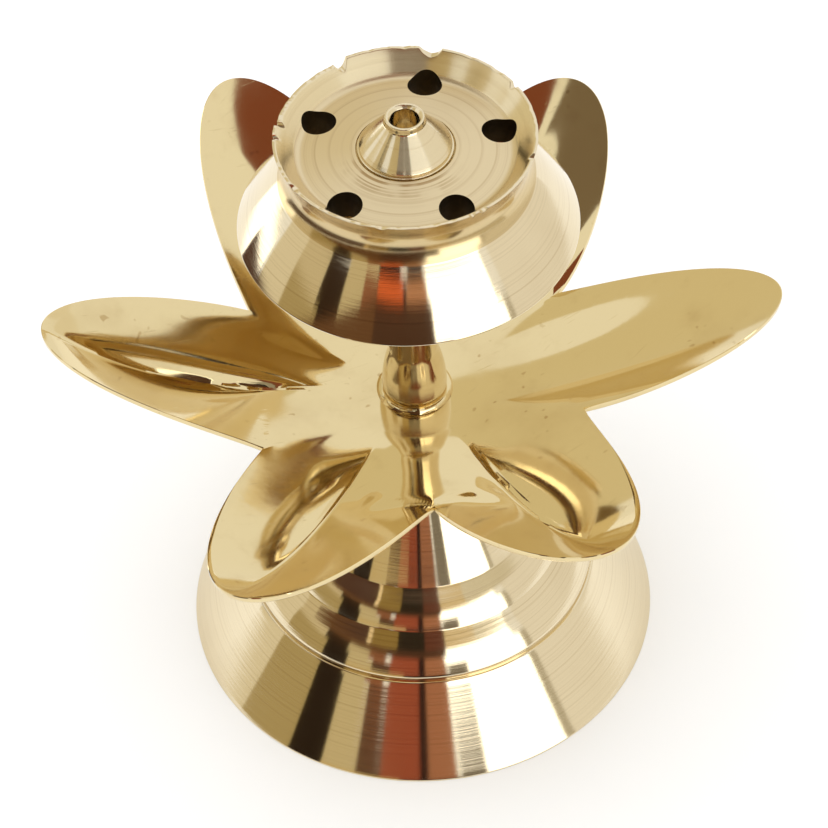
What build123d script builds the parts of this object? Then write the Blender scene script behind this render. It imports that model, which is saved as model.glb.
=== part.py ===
from build123d import *

import math
import os
from dataclasses import dataclass

# Brass lotus incense stick holder: turned and pressed pieces stacked on one threaded rod.
# Millimetres, +Z up. The origin is on the axis, in the plane that the base stands on.

# Fits between pieces, all radial
ROD_CLEARANCE = 0.1
THREAD_CLEARANCE = 0.05
SHANK_CLEARANCE = 0.06
WASHER_CLEARANCE = 0.1
OVERRUN = 2.0

# Rod and the fixing under the base
ROD_RADIUS = 2.0
THREAD_PITCH = 0.7
ROD_PAST_NUT = 1.5
NUT_ACROSS_FLATS = 7.0
NUT_HEIGHT = 3.2
NUT_CORNER_BEVEL = 0.35
SPRING_WASHER_BAND = 1.6
SPRING_WASHER_THICKNESS = 1.0
SPRING_WASHER_SLIT = 0.6
SPRING_WASHER_SLIT_DEG = 22.0
PLAIN_WASHER_BAND = 2.4
PLAIN_WASHER_THICKNESS = 0.8

# Base: runs are radial, counted outwards from the rod's bore
NECK_WALL = 5.4
NECK_CONE_RUN = 7.15
UPPER_SHOULDER_RUN = 1.5
UPPER_STEP_RUN = 2.05
LOWER_SHOULDER_RUN = 1.45
LOWER_STEP_RUN = 2.35
GROOVE_LEDGE = 0.3
GROOVE_DEPTH = 0.5
GROOVE_HEIGHT = 0.5
SKIRT_RUN = 7.7
SKIRT_WALL = 2.8
COLLAR_FLARE = 0.5
# Base: heights, counted upwards from the floor
SKIRT_HEIGHT = 10.5
LOWER_STEP_HEIGHT = 3.6
UPPER_STEP_HEIGHT = 2.75
SHOULDER_RISE = 1.45
NECK_CONE_HEIGHT = 12.4
NECK_FLARE_HEIGHT = 6.65
COLLAR_HEIGHT = 1.6
STEP_BULGE = 0.12
CEILING_THICKNESS = 3.7

# Petal plate: one pressed sheet, each petal bent up a little differently
PETAL_REACH = 44.2
PETAL_RISE = 14.2
NOTCH_RADIUS = 22.2
RIDGE_RISE = 3.8
SHEET_THICKNESS = 0.8
HUB_MARGIN = 1.0
HUB_STEP = 0.15
HUB_LAP = 0.3
FIRST_PETAL_DEG = 4.5
# Control net of a petal: four rows from hub to rim, seven columns from notch to notch
RIM_REACH_SHARES = (0.0, 0.265, 1.01, 1.526, 1.01, 0.265, 0.0)
RIM_WIDTH_SHARES = (-1.0, -0.98, -0.905, 0.0, 0.905, 0.98, 1.0)
GUTTER_RISE_SHARES = (0.0, 0.04, 0.36, 1.0)
RIDGE_RISE_SHARES = (0.0, 0.33, 0.72, 1.0)

# Stem
STEM_LENGTH = 30.0
STEM_WALL = 0.9
STEM_FOOT_FLARE = 0.95
STEM_FOOT_ROUND = 0.55
STEM_CONE_HEIGHT = 6.5
STEM_BEAD_SIZE = 1.0
STEM_HEAD_FLARE = 3.0
STEM_HEAD_HEIGHT = 7.0
STEM_HEAD_EDGE = 1.2

# Cup: runs are radial, counted outwards from the cone's seat
SEAT_RIM_CLEARANCE = 0.15
SEAT_TO_HOLES = 3.35
STICK_HOLE_RADIUS = 2.0
STICK_HOLE_BEARINGS_DEG = (14.0, 77.0, 152.5, 230.5, 299.5)
FLOOR_PAST_HOLES = 1.3
LIP_FLARE = 2.3
LIP_EDGE = 0.4
WAIST_WALL = 1.3
BELL_RUN = 6.3
BELL_WALL = 2.0
BELL_BULGE = 0.35
BELL_HOLLOW = 0.2
WAIST_HOLLOW = 0.4
BOSS_MARGIN = 0.5
CEILING_PAST_FLOOR = 1.0
# Cup: heights
BELL_DROP = 2.0
BOSS_HEIGHT = 5.5
FLOOR_THICKNESS = 3.5
FLOOR_RISE = 0.8
SEAT_DEPTH = 0.3
BOWL_DEPTH = 2.6
WAIST_DROP = 2.0
NICK_COUNT = 8
NICK_RADIUS = 1.1
NICK_DEPTH = 0.8
FIRST_NICK_DEG = 31.5

# Cone that closes the stack and holds the centre stick
CONE_FOOT_RADIUS = 5.3
CONE_LIP = 0.3
CONE_HEIGHT = 4.45
CONE_TOP_RADIUS = 2.25
CENTRE_HOLE_RADIUS = 1.6
CENTRE_HOLE_DEPTH = 5.0
CENTRE_HOLE_BEVEL = 0.35
SHANK_WALL = 0.95
SHANK_TO_STEM = 1.05
SOCKET_WEB = 1.2
ROD_TO_WEB = 0.4
CONE_WASHER_OVERHANG = 0.2
CONE_WASHER_THICKNESS = 0.45

# Radii and levels that follow from the sizes above
BORE_RADIUS = ROD_RADIUS + ROD_CLEARANCE
SOCKET_RADIUS = ROD_RADIUS + THREAD_CLEARANCE
SHANK_RADIUS = SOCKET_RADIUS + SHANK_WALL
WASHER_RADIUS = CONE_FOOT_RADIUS + CONE_WASHER_OVERHANG
WAIST_RADIUS = BORE_RADIUS + NECK_WALL
COLLAR_RADIUS = WAIST_RADIUS + COLLAR_FLARE
HUB_RADIUS = COLLAR_RADIUS + HUB_MARGIN
STEM_HEAD_RADIUS = BORE_RADIUS + STEM_WALL + STEM_HEAD_FLARE
STICK_CIRCLE = WASHER_RADIUS + SEAT_RIM_CLEARANCE + SEAT_TO_HOLES + STICK_HOLE_RADIUS
LOWER_EDGE_Z = SKIRT_HEIGHT + LOWER_STEP_HEIGHT
CEILING_Z = LOWER_EDGE_Z - CEILING_THICKNESS
UPPER_EDGE_Z = LOWER_EDGE_Z + SHOULDER_RISE + UPPER_STEP_HEIGHT
NECK_WAIST_Z = UPPER_EDGE_Z + SHOULDER_RISE + NECK_CONE_HEIGHT
SEAT_Z = NECK_WAIST_Z + NECK_FLARE_HEIGHT + COLLAR_HEIGHT
HUB_TOP_Z = SEAT_Z + SHEET_THICKNESS + 2 * HUB_STEP
STEM_TOP_Z = HUB_TOP_Z + STEM_LENGTH
CUP_FLOOR_Z = STEM_TOP_Z + BOSS_HEIGHT + FLOOR_THICKNESS
CUP_SEAT_Z = CUP_FLOOR_Z + FLOOR_RISE - SEAT_DEPTH
CONE_FOOT_Z = CUP_SEAT_Z + CONE_WASHER_THICKNESS
CONE_TOP_Z = CONE_FOOT_Z + CONE_HEIGHT
SOCKET_TOP_Z = CONE_TOP_Z - CENTRE_HOLE_DEPTH - SOCKET_WEB
SPRING_WASHER_Z = CEILING_Z - PLAIN_WASHER_THICKNESS - SPRING_WASHER_THICKNESS
NUT_Z = SPRING_WASHER_Z - NUT_HEIGHT


@dataclass(frozen=True)
class PetalBend:
    """How one petal departs from the even pattern: its lean, and shares of the common sizes."""

    lean_deg: float
    reach_share: float
    rise_share: float
    tilt_share: float
    ridge_share: float


PETAL_SHARES = (
    PetalBend(-3.2, 1.00, 0.93, -0.09, 0.55),
    PetalBend(-5.4, 0.995, 1.01, 0.15, 1.02),
    PetalBend(-2.4, 0.96, 1.29, -0.07, 1.10),
    PetalBend(-4.1, 1.00, 0.92, 0.065, 0.97),
    PetalBend(-1.5, 1.04, 0.81, 0.07, 0.80),
    PetalBend(-5.3, 1.00, 1.00, 0.0, 1.37),
)
PETAL_PITCH_DEG = 360 / len(PETAL_SHARES)


def turned(*edges):
    """Solid of revolution about Z from a closed outline drawn as (radius, height)."""
    return revolve(Plane.XZ * make_face(edges), Axis.Z)


def ring(inner_radius, band, low_z, thickness):
    """Flat ring of one band width, lying at a level."""
    face = Circle(inner_radius + band) - Circle(inner_radius)
    return extrude(Pos(0, 0, low_z) * face, thickness)


def base():
    """Hollow turned base: skirt, groove, two steps with sloping shoulders, cone neck and collar."""
    neck_foot = WAIST_RADIUS + NECK_CONE_RUN
    upper_edge = neck_foot + UPPER_SHOULDER_RUN
    upper_foot = upper_edge + UPPER_STEP_RUN
    lower_edge = upper_foot + LOWER_SHOULDER_RUN
    lower_foot = lower_edge + LOWER_STEP_RUN
    skirt_top = lower_foot + GROOVE_LEDGE
    foot_radius = skirt_top + SKIRT_RUN
    hollow_foot = foot_radius - SKIRT_WALL
    hollow_top = hollow_foot - SKIRT_RUN * CEILING_Z / SKIRT_HEIGHT
    lower_start = (lower_foot, SKIRT_HEIGHT + GROOVE_HEIGHT)
    skirt = Polyline(
        (hollow_foot, 0),
        (foot_radius, 0),
        (skirt_top, SKIRT_HEIGHT),
        (skirt_top - GROOVE_DEPTH, SKIRT_HEIGHT),
        lower_start,
    )
    upper_start = (upper_foot, LOWER_EDGE_Z + SHOULDER_RISE)
    lower_step = SagittaArc(lower_start, (lower_edge, LOWER_EDGE_Z), -STEP_BULGE)
    lower_shoulder = Line((lower_edge, LOWER_EDGE_Z), upper_start)
    upper_step = SagittaArc(upper_start, (upper_edge, UPPER_EDGE_Z), -STEP_BULGE)
    neck = Polyline(
        (upper_edge, UPPER_EDGE_Z),
        (neck_foot, UPPER_EDGE_Z + SHOULDER_RISE),
        (WAIST_RADIUS, NECK_WAIST_Z),
    )
    flare = TangentArc(
        (WAIST_RADIUS, NECK_WAIST_Z),
        (COLLAR_RADIUS, SEAT_Z - COLLAR_HEIGHT),
        tangent=(-NECK_CONE_RUN, NECK_CONE_HEIGHT),
    )
    inside = Polyline(
        (COLLAR_RADIUS, SEAT_Z - COLLAR_HEIGHT),
        (COLLAR_RADIUS, SEAT_Z),
        (BORE_RADIUS, SEAT_Z),
        (BORE_RADIUS, CEILING_Z),
        (hollow_top, CEILING_Z),
        (hollow_foot, 0),
    )
    return turned(skirt, lower_step, lower_shoulder, upper_step, neck, flare, inside)


def polar(radius, bearing_deg):
    """Plan point at a radius and bearing."""
    return Vector(radius, 0).rotate(Axis.Z, bearing_deg)


def rim_plan(bend, middle_deg):
    """Plan control points of a petal's rim, from its right notch round the tip to its left one."""
    notch_along = NOTCH_RADIUS * math.cos(math.radians(PETAL_PITCH_DEG / 2))
    notch_across = NOTCH_RADIUS * math.sin(math.radians(PETAL_PITCH_DEG / 2))
    length = PETAL_REACH * bend.reach_share - notch_along
    turn = middle_deg + bend.lean_deg
    points = [
        Vector(notch_along + reach * length, width * notch_across).rotate(Axis.Z, turn)
        for reach, width in zip(RIM_REACH_SHARES, RIM_WIDTH_SHARES)
    ]
    points[0] = polar(NOTCH_RADIUS, middle_deg - PETAL_PITCH_DEG / 2)
    points[-1] = polar(NOTCH_RADIUS, middle_deg + PETAL_PITCH_DEG / 2)
    return points


def rim_heights(bend, right_ridge, left_ridge):
    """Heights of the rim's control points: the rim of a petal lies in one slanting plane."""
    notch = (right_ridge + left_ridge) / 2
    rise = PETAL_RISE * bend.rise_share
    tilt = PETAL_RISE * bend.tilt_share
    heights = [
        notch + reach * (rise - notch) + width * tilt
        for reach, width in zip(RIM_REACH_SHARES, RIM_WIDTH_SHARES)
    ]
    heights[0] = right_ridge
    heights[-1] = left_ridge
    return heights


def petal(index):
    """One petal of the sheet, hollow along its midline and meeting its neighbours along ridges."""
    bend = PETAL_SHARES[index]
    middle_deg = FIRST_PETAL_DEG + index * PETAL_PITCH_DEG
    ridges = [RIDGE_RISE * PETAL_SHARES[side].ridge_share for side in (index - 1, index)]
    plan = rim_plan(bend, middle_deg)
    heights = rim_heights(bend, *ridges)
    last = len(plan) - 1
    rows = []
    for row, (gutter, ridge) in enumerate(zip(GUTTER_RISE_SHARES, RIDGE_RISE_SHARES)):
        out = row / (len(GUTTER_RISE_SHARES) - 1)
        points = []
        for column, (rim, height) in enumerate(zip(plan, heights)):
            side = 2 * column / last - 1
            hub = polar(HUB_RADIUS - HUB_LAP, middle_deg + side * PETAL_PITCH_DEG / 2)
            level = SEAT_Z + HUB_STEP + height * (gutter + (ridge - gutter) * abs(side))
            points.append(hub + (rim - hub) * out + Vector(0, 0, level))
        rows.append(points)
    return Solid.extrude(Face.make_bezier_surface(rows), (0, 0, SHEET_THICKNESS))


def petal_plate():
    """Pressed sheet of six petals, with a flat land round the rod's hole."""
    plate = extrude(Pos(0, 0, SEAT_Z) * Circle(HUB_RADIUS), HUB_TOP_Z - SEAT_Z)
    for index in range(len(PETAL_SHARES)):
        plate += petal(index)
    hole = Pos(0, 0, SEAT_Z - OVERRUN) * Circle(BORE_RADIUS)
    return plate - extrude(hole, HUB_TOP_Z - SEAT_Z + 2 * OVERRUN)


def stem():
    """Turned sleeve: rounded foot, cone, bead on a slim shaft and a flared head under the cup."""
    shaft = BORE_RADIUS + STEM_WALL
    foot = shaft + STEM_FOOT_FLARE
    cone_top = HUB_TOP_Z + STEM_CONE_HEIGHT
    head_z = STEM_TOP_Z - STEM_HEAD_HEIGHT
    bead_z = (cone_top + head_z) / 2
    edge_z = STEM_TOP_Z - STEM_HEAD_EDGE
    below = Line((BORE_RADIUS, HUB_TOP_Z), (foot - STEM_FOOT_ROUND, HUB_TOP_Z))
    foot_round = TangentArc(
        (foot - STEM_FOOT_ROUND, HUB_TOP_Z), (foot, HUB_TOP_Z + STEM_FOOT_ROUND), tangent=(1, 0)
    )
    rise = Polyline((foot, HUB_TOP_Z + STEM_FOOT_ROUND), (shaft, cone_top), (shaft, bead_z - STEM_BEAD_SIZE))
    bead = ThreePointArc(
        (shaft, bead_z - STEM_BEAD_SIZE), (shaft + STEM_BEAD_SIZE, bead_z), (shaft, bead_z + STEM_BEAD_SIZE)
    )
    upper = Line((shaft, bead_z + STEM_BEAD_SIZE), (shaft, head_z))
    flare = TangentArc((shaft, head_z), (STEM_HEAD_RADIUS, edge_z), tangent=(0, 1))
    top = Polyline(
        (STEM_HEAD_RADIUS, edge_z),
        (STEM_HEAD_RADIUS, STEM_TOP_Z),
        (BORE_RADIUS, STEM_TOP_Z),
        (BORE_RADIUS, HUB_TOP_Z),
    )
    return turned(below, foot_round, rise, bead, upper, flare, top)


def cup():
    """Bowl with stick holes, a flared notched lip, and a bell round a boss that sits on the stem."""
    bore = SHANK_RADIUS + SHANK_CLEARANCE
    boss = STEM_HEAD_RADIUS + BOSS_MARGIN
    seat = WASHER_RADIUS + SEAT_RIM_CLEARANCE
    floor = STICK_CIRCLE + FLOOR_PAST_HOLES
    lip = floor + LIP_FLARE
    rim = lip + LIP_EDGE
    waist = floor + WAIST_WALL
    bell = waist + BELL_RUN
    ceiling = floor + CEILING_PAST_FLOOR
    bell_z = STEM_TOP_Z - BELL_DROP
    ceiling_z = STEM_TOP_Z + BOSS_HEIGHT
    waist_z = CUP_FLOOR_Z - WAIST_DROP
    rim_z = CUP_FLOOR_Z + BOWL_DEPTH
    under = Polyline((bore, STEM_TOP_Z), (boss, STEM_TOP_Z), (boss, ceiling_z), (ceiling, ceiling_z))
    bell_inside = SagittaArc((ceiling, ceiling_z), (bell - BELL_WALL, bell_z), BELL_HOLLOW)
    bell_edge = Line((bell - BELL_WALL, bell_z), (bell, bell_z))
    bell_outside = SagittaArc((bell, bell_z), (waist, waist_z), -BELL_BULGE)
    waist_hollow = SagittaArc((waist, waist_z), (rim, rim_z), WAIST_HOLLOW)
    bowl = Polyline(
        (rim, rim_z),
        (lip, rim_z),
        (floor, CUP_FLOOR_Z),
        (seat, CUP_FLOOR_Z + FLOOR_RISE),
        (seat, CUP_SEAT_Z),
        (bore, CUP_SEAT_Z),
        (bore, STEM_TOP_Z),
    )
    body = turned(under, bell_inside, bell_edge, bell_outside, waist_hollow, bowl)
    drill_length = CUP_FLOOR_Z - ceiling_z + 2 * OVERRUN
    drill = Pos(STICK_CIRCLE, 0, ceiling_z - OVERRUN) * Cylinder(
        STICK_HOLE_RADIUS, drill_length, align=(Align.CENTER, Align.CENTER, Align.MIN)
    )
    for bearing in STICK_HOLE_BEARINGS_DEG:
        body -= Rot(0, 0, bearing) * drill
    file = Pos(floor, 0, rim_z + NICK_RADIUS - NICK_DEPTH) * Rot(0, 90, 0) * Cylinder(
        NICK_RADIUS, rim - floor + OVERRUN, align=(Align.CENTER, Align.CENTER, Align.MIN)
    )
    for index in range(NICK_COUNT):
        body -= Rot(0, 0, FIRST_NICK_DEG + index * 360 / NICK_COUNT) * file
    return body


def cone_washer():
    """Thin ring between the cone and its seat in the bowl."""
    inner = SHANK_RADIUS + WASHER_CLEARANCE
    return ring(inner, WASHER_RADIUS - inner, CUP_SEAT_Z, CONE_WASHER_THICKNESS)


def stick_cone():
    """Cone nut: stick hole from the top, threaded socket from below, shank down through the cup."""
    shank_z = STEM_TOP_Z + SHANK_TO_STEM
    outline = Polyline(
        (SOCKET_RADIUS, shank_z),
        (SHANK_RADIUS, shank_z),
        (SHANK_RADIUS, CONE_FOOT_Z),
        (CONE_FOOT_RADIUS, CONE_FOOT_Z),
        (CONE_FOOT_RADIUS, CONE_FOOT_Z + CONE_LIP),
        (CONE_TOP_RADIUS, CONE_TOP_Z),
        (CENTRE_HOLE_RADIUS + CENTRE_HOLE_BEVEL, CONE_TOP_Z),
        (CENTRE_HOLE_RADIUS, CONE_TOP_Z - CENTRE_HOLE_BEVEL),
        (CENTRE_HOLE_RADIUS, CONE_TOP_Z - CENTRE_HOLE_DEPTH),
        (0, CONE_TOP_Z - CENTRE_HOLE_DEPTH),
        (0, SOCKET_TOP_Z),
        (SOCKET_RADIUS, SOCKET_TOP_Z),
        close=True,
    )
    return turned(outline)


def tie_rod():
    """Threaded rod, plain here, bevelled by one pitch at both ends."""
    low_z = NUT_Z - ROD_PAST_NUT
    high_z = SOCKET_TOP_Z - ROD_TO_WEB
    tip = ROD_RADIUS - THREAD_PITCH
    outline = Polyline(
        (0, low_z),
        (tip, low_z),
        (ROD_RADIUS, low_z + THREAD_PITCH),
        (ROD_RADIUS, high_z - THREAD_PITCH),
        (tip, high_z),
        (0, high_z),
        close=True,
    )
    return turned(outline)


def plain_washer():
    """Flat washer under the base's ceiling."""
    return ring(BORE_RADIUS, PLAIN_WASHER_BAND, CEILING_Z - PLAIN_WASHER_THICKNESS, PLAIN_WASHER_THICKNESS)


def spring_washer():
    """Split washer, pressed flat, with its slanting slit."""
    outer = BORE_RADIUS + SPRING_WASHER_BAND
    middle_z = SPRING_WASHER_Z + SPRING_WASHER_THICKNESS / 2
    slit = Pos(outer / 2, 0, middle_z) * Rot(SPRING_WASHER_SLIT_DEG, 0, 0) * Box(
        outer + OVERRUN, SPRING_WASHER_SLIT, SPRING_WASHER_THICKNESS + 2 * OVERRUN
    )
    return ring(BORE_RADIUS, SPRING_WASHER_BAND, SPRING_WASHER_Z, SPRING_WASHER_THICKNESS) - slit


def hex_nut():
    """Hexagon nut with its corners bevelled at both faces."""
    corner = NUT_ACROSS_FLATS / math.sqrt(3)
    face_radius = NUT_ACROSS_FLATS / 2
    flats = RegularPolygon(face_radius, 6, major_radius=False) - Circle(SOCKET_RADIUS)
    body = extrude(Pos(0, 0, NUT_Z) * flats, NUT_HEIGHT)
    bevel = Polyline(
        (0, NUT_Z),
        (face_radius, NUT_Z),
        (corner, NUT_Z + NUT_CORNER_BEVEL),
        (corner, NUT_Z + NUT_HEIGHT - NUT_CORNER_BEVEL),
        (face_radius, NUT_Z + NUT_HEIGHT),
        (0, NUT_Z + NUT_HEIGHT),
        close=True,
    )
    return body & turned(bevel)


PIECES = (
    base,
    petal_plate,
    stem,
    cup,
    cone_washer,
    stick_cone,
    tie_rod,
    plain_washer,
    spring_washer,
    hex_nut,
)

if __name__ == "__main__":
    os.makedirs("parts", exist_ok=True)
    for piece in PIECES:
        export_step(piece(), f"parts/{piece.__name__}.step")
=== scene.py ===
"""Looks of a brass lotus incense stick holder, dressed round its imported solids.

Sizes in the classes are millimetres. Meshes are written in metres in the part's own frame, +Z up.
"""

import logging
import math
from dataclasses import dataclass
from enum import Enum, IntEnum
from typing import Callable, ClassVar, Optional, Sequence, Union

import bpy
import numpy as np
from mathutils import Matrix, Vector


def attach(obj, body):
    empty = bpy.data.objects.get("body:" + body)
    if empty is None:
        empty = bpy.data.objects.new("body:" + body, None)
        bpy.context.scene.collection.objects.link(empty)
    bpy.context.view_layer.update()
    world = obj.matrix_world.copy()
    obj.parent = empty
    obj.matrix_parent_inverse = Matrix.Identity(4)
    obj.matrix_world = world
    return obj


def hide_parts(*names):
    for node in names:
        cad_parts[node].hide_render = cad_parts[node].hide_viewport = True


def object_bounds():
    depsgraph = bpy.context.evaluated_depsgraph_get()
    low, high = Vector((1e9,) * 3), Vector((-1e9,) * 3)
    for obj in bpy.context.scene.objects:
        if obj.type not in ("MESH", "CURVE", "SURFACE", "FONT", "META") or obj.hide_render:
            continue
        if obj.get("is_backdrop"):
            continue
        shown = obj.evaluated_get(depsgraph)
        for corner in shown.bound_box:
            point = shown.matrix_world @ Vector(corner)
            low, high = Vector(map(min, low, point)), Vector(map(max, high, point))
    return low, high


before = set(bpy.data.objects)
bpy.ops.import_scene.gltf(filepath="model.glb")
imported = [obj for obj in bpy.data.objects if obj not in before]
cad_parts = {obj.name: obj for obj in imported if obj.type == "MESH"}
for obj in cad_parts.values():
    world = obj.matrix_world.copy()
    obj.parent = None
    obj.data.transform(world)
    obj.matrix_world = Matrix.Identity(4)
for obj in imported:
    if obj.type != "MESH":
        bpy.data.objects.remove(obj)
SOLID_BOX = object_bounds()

LOG = logging.getLogger("incense_stand")
MM = 0.001
PHOTO_PIXELS = 828
Colour = tuple[float, float, float]
Value = Union["Term", float, int, Sequence[float], bpy.types.ID, None]


def operator(operation: str, reflected: bool = False) -> Callable[["Term", Value], "Term"]:
    """An operator of terms.

    Args:
        operation: the Math node's own name for it.
        reflected: whether the other value comes first.

    Returns:
        A method that adds the Math node over a term and another value.
    """
    def result(term: "Term", other: Value) -> "Term":
        """The operation's result."""
        return term.bench.math(operation, *((other, term) if reflected else (term, other)))

    return result


class Term:
    """One output of a node, which adds Math nodes when it is used in an expression."""

    __add__, __radd__ = operator("ADD"), operator("ADD", True)
    __sub__, __rsub__ = operator("SUBTRACT"), operator("SUBTRACT", True)
    __mul__, __rmul__ = operator("MULTIPLY"), operator("MULTIPLY", True)
    __truediv__, __rtruediv__ = operator("DIVIDE"), operator("DIVIDE", True)

    def __init__(self, bench: "NodeBench", socket: bpy.types.NodeSocket) -> None:
        """Keeps the socket and the bench that its tree is built on."""
        self.bench = bench
        self.socket = socket

    def __abs__(self) -> "Term":
        """The size of this, without its sign."""
        return self.bench.math("ABSOLUTE", self)

    def apply(self, operation: str, *others: Value) -> "Term":
        """Another operation of a Math node on this, such as SINE, with what else it takes."""
        return self.bench.math(operation, self, *others)

    def ease(self, low: float, high: float) -> "Term":
        """A soft step from 0 where this is low to 1 where it is high."""
        return self.bench.term("ShaderNodeMapRange", {"interpolation_type": "SMOOTHSTEP"},
                               {"Value": self, "From Min": low, "From Max": high})


class NodeBench:
    """Builds the nodes of one tree, for a material, a world or Geometry Nodes."""

    def __init__(self, tree: bpy.types.NodeTree) -> None:
        """Keeps the tree that nodes are added to."""
        self.tree = tree

    @classmethod
    def cleared(cls, owner: Union[bpy.types.Material, bpy.types.World]) -> "NodeBench":
        """A bench on an emptied tree.

        Args:
            owner: the material or world that the tree belongs to.

        Returns:
            The bench.
        """
        owner.use_nodes = True
        owner.node_tree.nodes.clear()
        return cls(owner.node_tree)

    def node(self, kind: str, settings: Optional[dict] = None,
             sockets: Optional[dict] = None) -> bpy.types.Node:
        """Adds one node.

        Args:
            kind: the node's type.
            settings: its own settings, set first.
            sockets: values or terms for its inputs, by name or number.

        Returns:
            The node.
        """
        made = self.tree.nodes.new(kind)
        for name, value in (settings or {}).items():
            setattr(made, name, value)
        for name, value in (sockets or {}).items():
            if isinstance(value, Term):
                self.tree.links.new(value.socket, made.inputs[name])
            elif value is not None:
                made.inputs[name].default_value = value
        return made

    def term(self, kind: str, settings: Optional[dict] = None, sockets: Optional[dict] = None,
             output: Union[int, str] = 0) -> Term:
        """Adds one node and gives one of its outputs, by name or number, as a term."""
        return Term(self, self.node(kind, settings, sockets).outputs[output])

    def math(self, operation: str, *values: Value) -> Term:
        """Adds a Math node over the values."""
        return self.term("ShaderNodeMath", {"operation": operation}, dict(enumerate(values)))

    def split(self, vector: Term) -> tuple[Term, Term, Term]:
        """The three parts of a vector."""
        parts = self.node("ShaderNodeSeparateXYZ", sockets={"Vector": vector})
        return tuple(Term(self, output) for output in parts.outputs)

    def join(self, x: Value, y: Value, z: Value) -> Term:
        """A vector of three parts."""
        return self.term("ShaderNodeCombineXYZ", sockets={"X": x, "Y": y, "Z": z})

    def blend(self, share: Value, first: Value, second: Value) -> Term:
        """A colour between two, by a share of the second."""
        return self.term("ShaderNodeMix", {"data_type": "RGBA"}, {0: share, 6: first, 7: second}, 2)

    def noise(self, scale: float, detail: float, along: Optional[Term] = None,
              seed: float = 0.0) -> Term:
        """Noise between 0 and 1.

        Args:
            scale: its grain, in waves a metre, or per unit of the value that it runs along.
            detail: finer waves added.
            along: a value that it runs along, or a vector, or nothing for the piece's own place.
            seed: another cut through the same noise, used where it runs along a vector.

        Returns:
            The noise.
        """
        sockets = {"Scale": scale, "Detail": detail}
        if along is not None and along.socket.type == "VALUE":
            shape, sockets["W"] = "1D", along
        else:
            shape, sockets["W"], sockets["Vector"] = "4D", seed, along or self.place()
        return self.term("ShaderNodeTexNoise", {"noise_dimensions": shape}, sockets, "Fac")

    def place(self) -> Term:
        """The place on the piece, in its own frame."""
        return self.term("ShaderNodeTexCoord", output="Object")

    def radius(self) -> Term:
        """The distance from the axis."""
        x, y, _ = self.split(self.place())
        return (x * x + y * y).apply("SQRT")

    def emit(self, shader: Term, kind: str = "ShaderNodeOutputMaterial") -> None:
        """Ends a material, or with another kind of output a world."""
        self.node(kind, sockets={"Surface": shader})


@dataclass(frozen=True)
class Finish:
    """A metal finish. Each kind varies its colour, gloss and fine relief in its own way.

    In the patterns, noise is given its waves a metre and its detail, and a soft step the values
    that it runs between.
    """

    grain_turn: ClassVar[float] = 0.25
    name: str
    colour: Colour
    stain: Colour
    roughness: float
    roughness_spread: float
    relief: float
    anisotropy: float = 0.0

    def material(self) -> bpy.types.Material:
        """Makes the finish a material, at its first use.

        Returns:
            The material.
        """
        known = bpy.data.materials.get(self.name)
        if known:
            return known
        made = bpy.data.materials.new(self.name)
        bench = NodeBench.cleared(made)
        stain, gloss, height = self.pattern(bench)
        bump = bench.term("ShaderNodeBump", sockets={
            "Strength": 1.0, "Distance": self.relief * MM, "Height": height})
        shader = bench.term("ShaderNodeBsdfPrincipled", sockets={
            "Base Color": bench.blend(stain, (*self.colour, 1.0), (*self.stain, 1.0)),
            "Metallic": 1.0,
            "Roughness": self.roughness + self.roughness_spread * gloss,
            "Anisotropic": self.anisotropy,
            "Anisotropic Rotation": self.grain_turn,
            "Normal": bump,
        })
        bench.emit(shader)
        made.diffuse_color = (*self.colour, 1.0)
        return made

    def pattern(self, bench: NodeBench) -> tuple[Term, Term, Term]:
        """How the finish varies over a surface.

        Args:
            bench: builds the nodes.

        Returns:
            Where the metal is stained, where it is duller, and its relief, each from 0 to 1.
        """
        raise NotImplementedError


@dataclass(frozen=True)
class TurnedFinish(Finish):
    """Brass straight from the lathe: fine rings that run round the axis."""

    path_slope: ClassVar[float] = 2.5
    fine_waves: ClassVar[float] = 2.2
    coarse_waves: ClassVar[float] = 0.5
    coarse_start: ClassVar[float] = 31.0
    feed: float = 0.45
    coarse_share: float = 0.6

    def pattern(self, bench: NodeBench) -> tuple[Term, Term, Term]:
        """Rings along the tool's path, a few of them deeper, under a faint cloud of tarnish.

        Args:
            bench: builds the nodes.

        Returns:
            Stain, dullness and relief, each from 0 to 1.
        """
        height = bench.split(bench.place())[2]
        path = (bench.radius() - self.path_slope * height) / MM
        fine = bench.noise(self.fine_waves / self.feed, 1.0, path)
        coarse = bench.noise(self.coarse_waves / self.feed, 1.0, path + self.coarse_start)
        cloud = bench.noise(60.0, 3.0)
        rings = fine * (1.0 - self.coarse_share) + coarse * self.coarse_share
        stain = rings.ease(0.5, 0.75) * 0.5 + cloud.ease(0.5, 0.85) * 0.35
        gloss = cloud.ease(0.35, 0.7) * 0.5 + fine * 0.5
        return stain.apply("MINIMUM", 1.0), gloss, rings


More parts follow.
